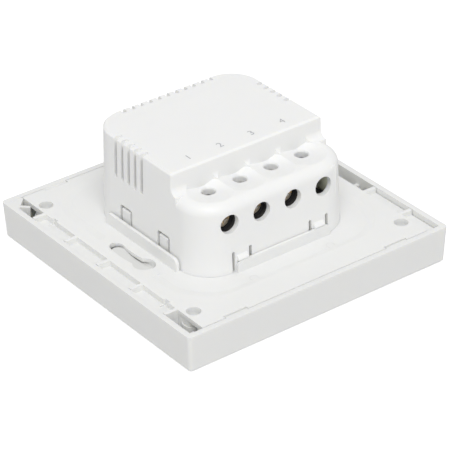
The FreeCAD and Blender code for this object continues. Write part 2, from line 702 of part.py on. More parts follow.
def wire_funnels():
    """Leaning scoop, throat and bore of each wire entry."""
    tools = []
    top = STEP_Z + RISER_FOOT_R
    limit = box(-HOUSING_SIDE, HOUSING_SIDE, -HOUSING_SIDE, RISER_Y, 0, top)
    for x in POLE_X:
        dish_x = x + SCOOP_SHIFT
        hole_x = x + WIRE_SHIFT
        scoop = taper(circle(hole_x, WIRE_Y, THROAT_R, THROAT_Z), circle(dish_x, SCOOP_Y, SCOOP_R, STEP_Z))
        over = cyl_z(dish_x, SCOOP_Y, SCOOP_R, STEP_Z, top)
        throat = Part.makeCone(WIRE_R, THROAT_R, THROAT_DEPTH, V(hole_x, WIRE_Y, THROAT_Z - THROAT_DEPTH), V(0, 0, 1))
        tools += [scoop.common(limit), over.common(limit), throat]
        tools.append(cyl_z(hole_x, WIRE_Y, WIRE_R, SLEEVE_END_Z - 1, THROAT_Z - THROAT_DEPTH + 0.1))
    return tools


def wire_sleeves():
    """Short sleeves under the step that lead each wire into its clamp."""
    return [cyl_z(x + WIRE_SHIFT, WIRE_Y, SLEEVE_R, SLEEVE_END_Z, STEP_CEILING_Z + 0.1) for x in POLE_X]


def vent_tools():
    """Slots through the side and back walls, each with a groove over the top edge."""
    half = VENT_WIDTH / 2
    face = HOUSING_HALF - draft_at(TOTAL_DEPTH)
    groove = [(face + 2, VENT_TOP_Z), (face - VENT_GROOVE_DEPTH, VENT_TOP_Z),
              (face - VENT_GROOVE_DEPTH, TOTAL_DEPTH - 2 * VENT_GROOVE_DEPTH),
              (face - VENT_GROOVE_REACH, TOTAL_DEPTH - VENT_GROOVE_DEPTH),
              (face - VENT_GROOVE_REACH, TOTAL_DEPTH + 2), (face + 2, TOTAL_DEPTH + 2)]
    deep = face - 2 * HOUSING_WALL
    slot = box(deep, face + 2, -half, half, VENT_BOTTOM_Z + half, VENT_TOP_Z + 0.01)
    slot = slot.fuse(cyl_x(0, VENT_BOTTOM_Z + half, half, deep, face + 2))
    slot = slot.fuse(extrude_y(groove, -half, half))
    slot = slot.fuse(cyl_z(face - VENT_GROOVE_REACH, 0, half, TOTAL_DEPTH - VENT_GROOVE_DEPTH, TOTAL_DEPTH + 2))
    tools = []
    for i in range(SIDE_VENT_COUNT):
        place = slot.copy()
        place.translate(V(0, SIDE_VENT_MIDDLE_Y + (i - (SIDE_VENT_COUNT - 1) / 2) * SIDE_VENT_PITCH, 0))
        tools += both_x(place)
    for i in range(BACK_VENT_COUNT):
        place = slot.copy()
        place.rotate(V(0, 0, 0), V(0, 0, 1), 90)
        place.translate(V((i - (BACK_VENT_COUNT - 1) / 2) * BACK_VENT_PITCH, HOUSING_Y, 0))
        tools.append(place)
    return tools


def snap_cuts():
    """Slots that free the front and back tongues, and the side windows."""
    half = TONGUE_SLOT_WIDTH / 2
    deep = HOUSING_HALF - 2 * HOUSING_WALL
    tools = []
    for centre in TONGUE_X:
        for side in (-1, 1):
            x = centre + side * TONGUE_SLOT_OFFSET
            slot = box(x - half, x + half, -HOUSING_HALF - 1, -deep, DISH_Z - 1, TONGUE_TOP_Z - half)
            slot = slot.fuse(cyl_y(x, TONGUE_TOP_Z - half, half, -HOUSING_HALF - 1, -deep))
            back = mirror_y(slot)
            slot.translate(V(0, HOUSING_Y, 0))
            back.translate(V(0, HOUSING_Y, 0))
            tools += [slot, back]
    top = SIDE_WINDOW_TOP_Z
    for centre in SIDE_WINDOW_Y:
        window = box(-HOUSING_HALF - 1, -deep, centre - SIDE_WINDOW_HALF, centre + SIDE_WINDOW_HALF,
                     DISH_Z - 1, top)
        window = round_edges(window, SIDE_WINDOW_GAP,
                             lambda b: b.XLength > 1 and b.ZMin > top - 0.01 and b.YLength < 0.01)
        tools += both_x(window)
    return tools


def snap_hooks():
    """Hooks of the tongues that grip over the collar."""
    low = FRAME_HEIGHT + COLLAR_Y_HEIGHT + HOOK_CLEARANCE
    wall = HOUSING_HALF - draft_at(low) - HOUSING_Y
    reach = wall + HOOK_REACH
    profile = [(-wall + 0.3, low), (-reach, low), (-reach, low + 0.4), (-wall + 0.3, low + HOOK_RISE)]
    half = TONGUE_SLOT_OFFSET - 1.2 * TONGUE_SLOT_WIDTH
    hooks = []
    for centre in TONGUE_X:
        hook = extrude_x(profile, centre - half, centre + half)
        back = mirror_y(hook)
        back.translate(V(0, 2 * HOUSING_Y, 0))
        hooks += [hook, back]
    return hooks


def housing_ribs():
    """Inner ribs that press the power board down, and the wall beside the empty fourth cell."""
    ribs = []
    seat = HOUSING_INNER - POWER_BOARD_MARGIN - PRESS_RIB
    for y in (-15.0, 12.9):
        ribs += both_x(box(seat, HOUSING_INNER + 0.5, y, y + PRESS_RIB, POWER_TOP_Z, VENT_BOTTOM_Z - 1))
    wall_x = POLE_X[-1] + SCREW_HEAD_R + PRESS_RIB
    ribs.append(box(wall_x, wall_x + PRESS_RIB, -HOUSING_INNER, RISER_Y + HOUSING_WALL,
                    POWER_TOP_Z + BLANK_END_HEIGHT, STEP_CEILING_Z + 0.2))
    return ribs


def rear_housing():
    """Moulded rear housing: stepped shell with wire funnels, access holes, snaps and vents."""
    shell = housing_outer().cut(housing_cavity())
    shell = fuse([shell] + housing_ribs() + snap_hooks() + wire_sleeves())
    tools = wire_funnels() + vent_tools() + snap_cuts()
    tools += [cyl_y(x, TERMINAL_Z, ACCESS_HOLE_R, -HOUSING_HALF - 1, SCREW_HEAD_Y) for x in POLE_X]
    return cut(shell, tools)


def bevel_edges(shape, size, chosen):
    """Chamfer the edges that the chosen test accepts."""
    edges = [edge for edge in shape.Edges if chosen(edge.BoundBox)]
    return shape.makeChamfer(size, edges)


def rocker():
    """Square rocker plate with its skirt, two pivot pins and the boss that presses the switch."""
    side = ROCKER_SIDE
    body = prism(side, side, ROCKER_CORNER_R, ROCKER_RECESS, ROCKER_SKIRT_Z)
    body = bevel_edges(body, ROCKER_EDGE, lambda b: b.ZMax < ROCKER_RECESS + 0.01)
    body = body.cut(prism(ROCKER_INNER, ROCKER_INNER, ROCKER_CORNER_R / 2, ROCKER_BACK_Z, FRAME_HEIGHT))
    half = ROCKER_INNER / 2
    pins = both_x(cyl_x(PIVOT_Y, PIVOT_Z, PIVOT_RADIUS, half - PIVOT_LENGTH, half + ROCKER_SKIRT_WALL / 2))
    boss = cyl_z(0, TACT_Y, PLUNGER_R - PLUNGER_CLEARANCE, ROCKER_BACK_Z - 0.2, PLUNGER_TIP_Z - PLUNGER_GAP)
    return cut(fuse([body, boss] + pins), [light_window()])


def light_window():
    """Clear window that shows the status light through the rocker."""
    return prism(WINDOW_LENGTH, WINDOW_WIDTH, 0.4 * WINDOW_WIDTH, ROCKER_RECESS, ROCKER_BACK_Z, 0, WINDOW_Y)


def button_carrier():
    """Carrier plate that holds the rocker's pivots and the control board."""
    side = ROCKER_SIDE + 2 * ROCKER_GAP - CARRIER_SIDE_GAP
    plate = prism(side, side, CARRIER_CORNER_R, CARRIER_Z, CARRIER_TOP_Z)
    inner = ROCKER_INNER / 2
    ear_half = 1.8 * PIVOT_RADIUS
    ear = box(inner - 0.8 * PIVOT_LENGTH, inner - ROCKER_GAP, PIVOT_Y - ear_half, PIVOT_Y + ear_half,
              PIVOT_Z - 0.75 * PIVOT_RADIUS, CARRIER_Z + 0.2)
    board_x = CONTROL_BOARD[0] / 2
    board_y = CONTROL_BOARD[1] / 2
    pads = []
    for y in (CONTROL_BOARD_Y - board_y, CONTROL_BOARD_Y + board_y - SEAT_PAD):
        pads += both_x(box(board_x - SEAT_PAD, board_x, y, y + SEAT_PAD, CARRIER_TOP_Z - 0.2, BOARD_Z))
    mouth = 0.85 * PIVOT_RADIUS
    tools = both_x(cyl_x(PIVOT_Y, PIVOT_Z, PIVOT_RADIUS + PIVOT_CLEARANCE, inner - PIVOT_LENGTH, inner))
    tools += both_x(box(inner - PIVOT_LENGTH, inner, PIVOT_Y - mouth, PIVOT_Y + mouth, 0, PIVOT_Z))
    tact_half = TACT_SIDE / 2 + 2 * CLAMP_CLEARANCE
    tools.append(box(-tact_half, tact_half, TACT_Y - tact_half, TACT_Y + tact_half, 0, FRAME_HEIGHT))
    tools.append(box(-LED[0], LED[0], WINDOW_Y - LED[1], WINDOW_Y + LED[1] / 2, 0, FRAME_HEIGHT))
    tools += [cyl_z(x, y, CARRIER_SCREW_R + CLAMP_CLEARANCE, 0, FRAME_HEIGHT) for x, y in CARRIER_POSTS]
    return cut(fuse([plate] + both_x(ear) + pads), tools)


def carrier_screws():
    """Four self-tapping screws that fix the carrier to the plate."""
    screws = []
    slot_half = SCREW_SLOT / 3
    for x, y in CARRIER_POSTS:
        head = cyl_z(x, y, CARRIER_SCREW_HEAD_R, CARRIER_Z - CARRIER_SCREW_HEAD, CARRIER_Z)
        slot = box(x - 2 * SCREW_SLOT, x + 2 * SCREW_SLOT, y - slot_half, y + slot_half, 0,
                   CARRIER_Z - CARRIER_SCREW_HEAD / 2)
        shank = cyl_z(x, y, CARRIER_SCREW_R - CARRIER_SCREW_CLEARANCE, CARRIER_Z - 0.1,
                      DECK_Z - CARRIER_SCREW_BITE)
        screws.append(fuse([head.cut(slot), shank]))
    return Part.makeCompound(screws)


def control_board():
    """Board under the rocker with the radio, the switch and the status light."""
    return prism(CONTROL_BOARD[0], CONTROL_BOARD[1], CARRIER_CORNER_R, BOARD_Z, BOARD_BACK_Z, 0, CONTROL_BOARD_Y)


def tact_switch_body():
    """Square body of the push-button switch, open at its front for the plunger."""
    half = TACT_SIDE / 2
    front = BOARD_Z - TACT_HEIGHT
    body = box(-half, half, TACT_Y - half, TACT_Y + half, front, BOARD_Z)
    neck = cyl_z(0, TACT_Y, PLUNGER_R + PLUNGER_CLEARANCE, front - 1, BOARD_Z - 0.4)
    chamber = cyl_z(0, TACT_Y, PLUNGER_FLANGE_R + PLUNGER_CLEARANCE, front + 1.0, BOARD_Z - 0.4)
    return cut(body, [neck, chamber])


def tact_switch_plunger():
    """Plunger with the flange that keeps it in the switch."""
    flange_z = BOARD_Z - TACT_HEIGHT + 1.1
    shaft = cyl_z(0, TACT_Y, PLUNGER_R, PLUNGER_TIP_Z, flange_z + PLUNGER_FLANGE)
    shaft = bevel_edges(shaft, 0.2, lambda b: b.ZMax < PLUNGER_TIP_Z + 0.01)
    return shaft.fuse(cyl_z(0, TACT_Y, PLUNGER_FLANGE_R, flange_z, flange_z + PLUNGER_FLANGE))


def status_led():
    """Small light on the control board behind the window."""
    return standing_box(LED, (0, WINDOW_Y), BOARD_Z - LED[2])


def standing_box(size, place, base):
    """Box of a given size on a base, round its own place."""
    width, depth, height = size
    x, y = place
    return box(x - width / 2, x + width / 2, y - depth / 2, y + depth / 2, base, base + height)


def standing_case(size, place, base):
    """Upright case with round vertical edges."""
    width, depth, height = size
    return prism(width, depth, COMPONENT_EDGE_R, base, base + height, *place)


def radio_module():
    """Radio's own small board on the back of the control board."""
    return standing_box(RADIO_BOARD, RADIO_AT, BOARD_BACK_Z)


def radio_shield():
    """Metal can over the radio."""
    base = BOARD_BACK_Z + RADIO_BOARD[2]
    width, depth, height = SHIELD
    room = (width - 2 * SHIELD_WALL, depth - 2 * SHIELD_WALL, height - SHIELD_WALL)
    return standing_case(SHIELD, SHIELD_AT, base).cut(standing_case(room, SHIELD_AT, base))


def connector_pins():
    """Places of the board connector's pins along X."""
    return [(i - (PIN_COUNT - 1) / 2) * PIN_PITCH for i in range(PIN_COUNT)]


def board_plug():
    """Pin header on the control board."""
    half = PIN_SIDE / 2
    strip = standing_box((CONNECTOR_LENGTH, CONNECTOR_WIDTH / 2, PLUG_HEIGHT), (0, CONNECTOR_Y), BOARD_BACK_Z)
    pins = [box(x - half, x + half, CONNECTOR_Y - half, CONNECTOR_Y + half, BOARD_BACK_Z + PLUG_HEIGHT / 2,
                POWER_BOARD_Z - PIN_END_GAP) for x in connector_pins()]
    return fuse([strip] + pins)


def board_socket():
    """Socket on the power board that the pins enter."""
    half = PIN_SIDE / 2 + PIN_CLEARANCE
    body = box(-CONNECTOR_LENGTH / 2, CONNECTOR_LENGTH / 2, CONNECTOR_Y - CONNECTOR_WIDTH / 2,
               CONNECTOR_Y + CONNECTOR_WIDTH / 2, SOCKET_Z, POWER_BOARD_Z)
    holes = [box(x - half, x + half, CONNECTOR_Y - half, CONNECTOR_Y + half, SOCKET_Z - 1,
                 POWER_BOARD_Z - PIN_END_GAP / 2) for x in connector_pins()]
    return cut(body, holes)


def insulating_sheet():
    """Barrier between the mains side and the control side, with a window for the connector."""
    sheet = prism(SHEET_SIDE, SHEET_SIDE, DECK_OPENING_R, DISH_Z, DISH_Z + SHEET_THICKNESS)
    margin = 2 * CONNECTOR_MARGIN
    window = standing_box((CONNECTOR_LENGTH + margin, CONNECTOR_WIDTH + margin, FRAME_HEIGHT), (0, CONNECTOR_Y),
                          DISH_Z - 1)
    return sheet.cut(window)


def power_board():
    """Mains board across the housing, seated on the plate's pads."""
    side = 2 * (HOUSING_INNER - draft_at(POWER_TOP_Z) - POWER_BOARD_MARGIN)
    radius = HOUSING_CORNER_R - HOUSING_WALL - POWER_BOARD_MARGIN
    return prism(side, side, radius, POWER_BOARD_Z, POWER_TOP_Z, 0, HOUSING_Y)


def terminal_block():
    """Black block with three clamp cells and a low blank end in the fourth place."""
    left = POLE_X[0] - POLE_PITCH / 2
    right = POLE_X[FITTED_POLES - 1] + POLE_PITCH / 2
    high = box(left, right, BLOCK_FRONT_Y, BLOCK_BACK_Y, POWER_TOP_Z, BLOCK_TOP_Z)
    low = box(right - 0.5, right + BLANK_END_LENGTH, BLOCK_FRONT_Y, BLOCK_BACK_Y, POWER_TOP_Z,
              POWER_TOP_Z + BLANK_END_HEIGHT)
    cell_x = CLAMP_OUTER_X / 2 + CLAMP_CLEARANCE
    cell_z = CLAMP_HEIGHT / 2 + CLAMP_CLEARANCE
    bar_x = BAR_WIDTH / 2 + BAR_CLEARANCE
    tools = []
    for x in POLE_X[:FITTED_POLES]:
        tools.append(box(x - cell_x, x + cell_x, HEAD_BACK_Y, CLAMP_BACK_Y + 2 * CLAMP_CLEARANCE,
                         TERMINAL_Z - cell_z, TERMINAL_Z + cell_z))
        tools.append(cyl_y(x, TERMINAL_Z, SCREW_HEAD_R + SCREW_CLEARANCE, BLOCK_FRONT_Y - 1, HEAD_BACK_Y))
        tools.append(cyl_y(x, TERMINAL_Z, ACCESS_HOLE_R + WELL_CLEARANCE, BLOCK_FRONT_Y - 1, SCREW_HEAD_Y))
        tools.append(cyl_z(x + WIRE_SHIFT, WIRE_Y, SLEEVE_R + SLEEVE_CLEARANCE, TERMINAL_Z + cell_z - 0.1,
                           BLOCK_TOP_Z + 1))
        tools.append(box(x - bar_x, x + bar_x, BAR_Y - BAR_THICKNESS - BAR_CLEARANCE, BAR_Y + BAR_CLEARANCE,
                         POWER_TOP_Z, TERMINAL_Z))
    room = housing_block(POWER_TOP_Z, BLOCK_TOP_Z, HOUSING_WALL + BLOCK_CLEARANCE)
    return cut(high.fuse(low).common(room), tools)


def terminal_contacts():
    """Brass bars that stand on the power board, one in each clamp."""
    bars = []
    top = TERMINAL_Z + CLAMP_HEIGHT / 2
    for x in POLE_X[:FITTED_POLES]:
        bars.append(box(x - BAR_WIDTH / 2, x + BAR_WIDTH / 2, BAR_Y - BAR_THICKNESS, BAR_Y,
                        POWER_TOP_Z, top))
    return Part.makeCompound(bars)


def wire_clamp(index):
    """Clamp cage of one pole: a loop round the bar and the wire, with the screw's neck at its front."""
    x = POLE_X[index]
    half = CLAMP_OUTER_X / 2
    low = TERMINAL_Z - CLAMP_HEIGHT / 2
    high = TERMINAL_Z + CLAMP_HEIGHT / 2
    cage = box(x - half, x + half, CLAMP_FRONT_Y, CLAMP_BACK_Y, low, high)
    room = box(x - half + CLAMP_WALL, x + half - CLAMP_WALL, CLAMP_FRONT_Y + CLAMP_NECK,
               WIRE_Y + WIRE_GAP / 2, low - 1, high + 1)
    thread = cyl_y(x, TERMINAL_Z, SCREW_SHANK_R + SCREW_CLEARANCE, CLAMP_FRONT_Y - 1,
                   CLAMP_FRONT_Y + CLAMP_NECK + 1)
    return cut(cage, [room, thread])


def terminal_screw(index):
    """Terminal screw with a combined cross and slot in its head."""
    x = POLE_X[index]
    head = cyl_y(x, TERMINAL_Z, SCREW_HEAD_R, SCREW_HEAD_Y, HEAD_BACK_Y)
    head = bevel_edges(head, SCREW_HEAD_EDGE, lambda b: b.YMax < SCREW_HEAD_Y + 0.01)
    shank = cyl_y(x, TERMINAL_Z, SCREW_SHANK_R, HEAD_BACK_Y - 0.1, BAR_Y - BAR_THICKNESS - BAR_CLEARANCE)
    half = SCREW_SLOT / 2
    deep = SCREW_HEAD_Y + SCREW_HEAD_LENGTH / 2
    slot_reach = SCREW_HEAD_R - SCREW_HEAD_EDGE
    cross_reach = 0.6 * SCREW_HEAD_R
    slot = box(x - slot_reach, x + slot_reach, SCREW_HEAD_Y - 1, deep, TERMINAL_Z - half, TERMINAL_Z + half)
    cross = box(x - half, x + half, SCREW_HEAD_Y - 1, deep, TERMINAL_Z - cross_reach, TERMINAL_Z + cross_reach)
    return cut(fuse([head, shank]), [slot, cross])


def relay():
    """Relay that switches the load."""
    return standing_case(RELAY, RELAY_AT, POWER_TOP_Z)


def transformer_bobbin():
    """Bobbin of the small mains transformer with its winding."""
    width, depth, height = TRANSFORMER
    x, y = TRANSFORMER_AT
    plate = TRANSFORMER_PLATE
    inner = width - 2 * TRANSFORMER_LEG - 2 * CLAMP_CLEARANCE
    base = standing_box((width, depth, plate), TRANSFORMER_AT, POWER_TOP_Z)
    winding_top = POWER_TOP_Z + height - 2 * plate
    winding = cyl_z(x, y, 0.46 * inner, POWER_TOP_Z + plate / 2, winding_top - plate / 2)
    cap = standing_box((inner, depth - 2, plate), TRANSFORMER_AT, winding_top - plate)
    return fuse([base, winding, cap])


def transformer_core():
    """Ferrite core that closes round the winding."""
    width, depth, height = TRANSFORMER
    size = (width - 2 * CLAMP_CLEARANCE, 0.4 * depth, height - TRANSFORMER_PLATE)
    base = POWER_TOP_Z + TRANSFORMER_PLATE
    arch = standing_box(size, TRANSFORMER_AT, base)
    room = (size[0] - 2 * TRANSFORMER_LEG, depth, size[2] - TRANSFORMER_PLATE)
    return arch.cut(standing_box(room, TRANSFORMER_AT, base))


def can_capacitor(size, place):
    """Upright can capacitor with the crimp near its foot."""
    radius, height = size
    x, y = place
    bead = 0.1 * radius
    profile = [(0, 0), (radius, 0), (radius, 2 * bead), (radius - bead, 3 * bead), (radius, 4 * bead),
               (radius, height - bead), (radius - bead, height), (0, height)]
    wire = Part.makePolygon([V(x + r, y, POWER_TOP_Z + z) for r, z in profile + profile[:1]])
    return Part.Face(wire).revolve(V(x, y, 0), V(0, 0, 1), 360)


def input_capacitor():
    """High-voltage can capacitor."""
    return can_capacitor(INPUT_CAPACITOR, INPUT_CAPACITOR_AT)


def output_capacitor():
    """Low-voltage can capacitor."""
    return can_capacitor(OUTPUT_CAPACITOR, OUTPUT_CAPACITOR_AT)


def film_capacitor():
    """Interference-suppression capacitor."""
    return standing_case(FILM_CAPACITOR, FILM_CAPACITOR_AT, POWER_TOP_Z)


def varistor():
    """Surge-protection disc."""
    radius, thickness = VARISTOR
    x, y = VARISTOR_AT
    return cyl_y(x, POWER_TOP_Z + radius, radius, y - thickness / 2, y + thickness / 2)


def fuse_resistor():
    """Fusible resistor lying on the board."""
    radius, length = FUSE_RESISTOR
    x, y = FUSE_RESISTOR_AT
    return cyl_y(x, POWER_TOP_Z + radius, radius, y - length / 2, y + length / 2)


def inductor():
    """Drum-core inductor."""
    radius, height = INDUCTOR
    x, y = INDUCTOR_AT
    waist = radius - INDUCTOR_FLANGE / 2
    profile = [(0, 0), (radius, 0), (radius, INDUCTOR_FLANGE), (waist, INDUCTOR_FLANGE),
               (waist, height - INDUCTOR_FLANGE), (radius, height - INDUCTOR_FLANGE), (radius, height), (0, height)]
    wire = Part.makePolygon([V(x + r, y, POWER_TOP_Z + z) for r, z in profile + profile[:1]])
    return Part.Face(wire).revolve(V(x, y, 0), V(0, 0, 1), 360)


def rectifier():
    """Bridge rectifier."""
    return standing_box(RECTIFIER, RECTIFIER_AT, POWER_TOP_Z)


NODES = {
    "front_frame": front_frame,
    "rocker": rocker,
    "light_window": light_window,
    "mounting_plate": mounting_plate,
    "rear_housing": rear_housing,
    "button_carrier": button_carrier,
    "carrier_screws": carrier_screws,
    "control_board": control_board,
    "tact_switch_body": tact_switch_body,
    "tact_switch_plunger": tact_switch_plunger,
    "status_led": status_led,
    "radio_module": radio_module,
    "radio_shield": radio_shield,
    "board_plug": board_plug,
    "board_socket": board_socket,
    "insulating_sheet": insulating_sheet,
    "power_board": power_board,
    "terminal_block": terminal_block,
    "terminal_contacts": terminal_contacts,
    "relay": relay,
    "transformer_bobbin": transformer_bobbin,
    "transformer_core": transformer_core,
    "input_capacitor": input_capacitor,
    "output_capacitor": output_capacitor,
    "film_capacitor": film_capacitor,
    "varistor": varistor,
    "fuse_resistor": fuse_resistor,
    "inductor": inductor,
    "rectifier": rectifier,
}


def main():
    """Build every piece and write its STEP file."""
    os.makedirs("parts", exist_ok=True)
    shapes = {name: make() for name, make in NODES.items()}
    for index in range(FITTED_POLES):
        shapes["terminal_screw_%d" % (index + 1)] = terminal_screw(index)
        shapes["wire_clamp_%d" % (index + 1)] = wire_clamp(index)
    for name, shape in shapes.items():
        shape.exportStep("parts/%s.step" % name)
        print("%-20s solids %d valid %s volume %.1f" % (name, len(shape.Solids), shape.isValid(), shape.Volume))


main()
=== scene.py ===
"""Smart light switch: studio, finishes and the small pieces that the solids leave out."""
import logging
import math
from dataclasses import dataclass
from enum import Enum
from typing import Any, Sequence

import bmesh
import bpy
from mathutils import Matrix, Vector


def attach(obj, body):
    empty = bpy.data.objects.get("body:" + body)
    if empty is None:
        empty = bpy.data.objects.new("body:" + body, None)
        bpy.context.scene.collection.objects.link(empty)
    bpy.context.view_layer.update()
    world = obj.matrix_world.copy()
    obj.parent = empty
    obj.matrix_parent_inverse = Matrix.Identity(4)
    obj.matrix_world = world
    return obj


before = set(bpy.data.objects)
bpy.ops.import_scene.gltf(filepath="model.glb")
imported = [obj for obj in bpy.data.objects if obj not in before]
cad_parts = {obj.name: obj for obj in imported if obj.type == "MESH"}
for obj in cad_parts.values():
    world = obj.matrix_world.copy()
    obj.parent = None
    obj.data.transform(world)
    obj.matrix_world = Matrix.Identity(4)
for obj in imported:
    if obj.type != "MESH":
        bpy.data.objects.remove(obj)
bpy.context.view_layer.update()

MM = 0.001
Colour = tuple[float, float, float]
Point = tuple[float, float, float]
Pair = tuple[float, float]
Outline = Sequence[Pair]
CORNERS = ((-1, -1), (-1, 1), (1, -1), (1, 1))
log = logging.getLogger("switch")


class Body(str, Enum):
    """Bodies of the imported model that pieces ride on."""

    SWITCH = "switch_body"
    SCREW = "terminal_screw_%d"
    CLAMP = "wire_clamp_%d"


class Slot(str, Enum):
    """Material slots of the record, passed along with new pieces."""

    TIN = "shield_tin"
    BRASS = "contact_brass"
    SCREW = "terminal_screw_brass"
    CLAMP = "clamp_steel"
    BLACK = "relay_black"
    AMBER = "bobbin_amber"
    WHITE = "housing_white"
    SLEEVE = "can_black"
    BLUE = "varistor_blue"


class Axis(Enum):
    """Directions that a pattern or a turned shape can follow."""

    X = (1.0, 0.0, 0.0)
    Y = (0.0, 1.0, 0.0)
    Z = (0.0, 0.0, 1.0)


class Signal:
    """A shader socket that takes part in Python sums."""

    def __init__(self, graph: "Graph", socket: Any) -> None:
        """Keep the socket and the graph that it belongs to."""
        self.graph = graph
        self.socket = socket

    def maths(self, operation: str, first: Any, second: Any = 0.0, third: Any = 0.0) -> "Signal":
        """Result of one Math node on numbers or signals."""
        return self.graph.add("ShaderNodeMath", {"operation": operation}, {0: first, 1: second, 2: third})

    def __add__(self, other: Any) -> "Signal":
        """Sum of two signals."""
        return self.maths("ADD", self, other)

    def __sub__(self, other: Any) -> "Signal":
        """Difference of two signals."""
        return self.maths("SUBTRACT", self, other)

    def __rsub__(self, other: Any) -> "Signal":
        """Difference with a number first."""
        return self.maths("SUBTRACT", other, self)

    def __mul__(self, other: Any) -> "Signal":
        """Product of two signals."""
        return self.maths("MULTIPLY", self, other)

    def __truediv__(self, other: Any) -> "Signal":
        """Quotient of two signals."""
        return self.maths("DIVIDE", self, other)

    __radd__ = __add__
    __rmul__ = __mul__

    def above(self, limit: float) -> "Signal":
        """One where the signal is over a limit, else nought."""
        return self.maths("GREATER_THAN", self, limit)

    def wave(self) -> "Signal":
        """Sine of the signal."""
        return self.maths("SINE", self)

    def fraction(self) -> "Signal":
        """Part after the decimal point."""
        return self.maths("FRACT", self)

    def size(self) -> "Signal":
        """Absolute value."""
        return self.maths("ABSOLUTE", self)

    def power(self, exponent: float) -> "Signal":
        """Signal raised to a power."""
        return self.maths("POWER", self, exponent)


class Graph:
    """Node tree of one material or of the world, filled from code."""

    def __init__(self, name: str, world: bool = False) -> None:
        """Start a material with a Principled shader, or a world with its background.

        Args:
            name: Name of the material or world.
            world: Whether it is the world.
        """
        self.material = (bpy.data.worlds if world else bpy.data.materials).new(name)
        self.material.use_nodes = True
        self.tree = self.material.node_tree
        self.shader = self.tree.nodes["Background" if world else "Principled BSDF"]

    def add(self, kind: str, settings: dict[str, Any], inputs: dict[Any, Any], output: Any = 0) -> Signal:
        """Add a node, set it up and feed its sockets.

        Args:
            kind: Node type.
            settings: Attributes that are set first.
            inputs: Values or signals by socket name or number.
            output: Socket that is returned.

        Returns:
            The chosen output.
        """
        node = self.tree.nodes.new(kind)
        for key, value in settings.items():
            setattr(node, key, value)
        for key, value in inputs.items():
            self.feed(node.inputs[key], value)
        return Signal(self, node.outputs[output])

    def feed(self, socket: Any, value: Any) -> None:
        """Link a signal to a socket, or write a plain value to it.

        Args:
            socket: Input of a node.
            value: Number, colour, vector or signal.
        """
        if isinstance(value, Signal):
            self.tree.links.new(value.socket, socket)
        elif socket.type == "RGBA" and len(value) == 3:
            socket.default_value = (*value, 1.0)
        else:
            socket.default_value = value

    def place(self) -> Signal:
        """Object coordinates, in metres."""
        return self.add("ShaderNodeTexCoord", {}, {}, "Object")

    def mapped(self, centre: Point = (0, 0, 0), turn: Point = (0, 0, 0), scale: Point = (1, 1, 1)) -> Signal:
        """Object coordinates round a centre, turned and scaled."""
        return self.add("ShaderNodeMapping", {"vector_type": "TEXTURE"},
                        {"Vector": self.place(), "Location": centre, "Rotation": turn, "Scale": scale})

    def parts(self, vector: Signal) -> tuple[Signal, Signal, Signal]:
        """The three numbers of a vector."""
        split = self.add("ShaderNodeSeparateXYZ", {}, {0: vector})
        return tuple(Signal(self, socket) for socket in split.socket.node.outputs)

    def noise(self, vector: Signal, grain: float, detail: float = 3.0, rough: float = 0.5) -> Signal:
        """Noise with a grain size in millimetres."""
        return self.add("ShaderNodeTexNoise", {},
                        {"Vector": vector, "Scale": 1.0 / (grain * MM), "Detail": detail, "Roughness": rough})

    def cells(self, vector: Signal, grain: float, output: Any = 0) -> Signal:
        """Cell pattern with a cell size in millimetres."""
        return self.add("ShaderNodeTexVoronoi", {"feature": "F1"}, {"Vector": vector, "Scale": 1.0 / (grain * MM)},
                        output)

    def between(self, signal: Signal, low: float, high: float, start: float = 0.0, end: float = 1.0) -> Signal:
        """Map a range of a signal onto another range."""
        return self.add("ShaderNodeMapRange", {"clamp": True},
                        {0: signal, 1: low, 2: high, 3: start, 4: end})

    def spread(self, signal: Signal, start: float, end: float) -> Signal:
        """Map the values that a noise mostly takes onto a range."""
        return self.between(signal, 0.3, 0.7, start, end)

    def blend(self, factor: Any, first: Any, second: Any) -> Signal:
        """Colour between two colours."""
        return self.add("ShaderNodeMix", {"data_type": "RGBA"}, {0: factor, 6: first, 7: second}, 2)

    def relief(self, height: Signal, depth: float) -> None:
        """Bump the surface by a height signal, its depth in millimetres."""
        bump = self.add("ShaderNodeBump", {}, {"Strength": 1.0, "Distance": depth * MM, "Height": height})
        self.feed(self.shader.inputs["Normal"], bump)

    def set(self, **values: Any) -> None:
        """Write or link the shader's sockets; underscores stand for spaces."""
        for key, value in values.items():
            self.feed(self.shader.inputs[key.replace("_", " ")], value)


def shade(colour: Colour, factor: float) -> Colour:
    """A colour made darker or paler by a factor."""
    return tuple(min(1.0, part * factor) for part in colour)


class Finish:
    """A finish that makes its own material."""

    def material(self, name: str) -> bpy.types.Material:
        """Build the finish.

        Args:
            name: Name of its material.

        Returns:
            The material.
        """
        graph = Graph(name)
        self.paint(graph)
        return graph.material

    def paint(self, graph: Graph) -> None:
        """Write the finish's nodes.

        Args:
            graph: Node tree of its material.
        """
        raise NotImplementedError


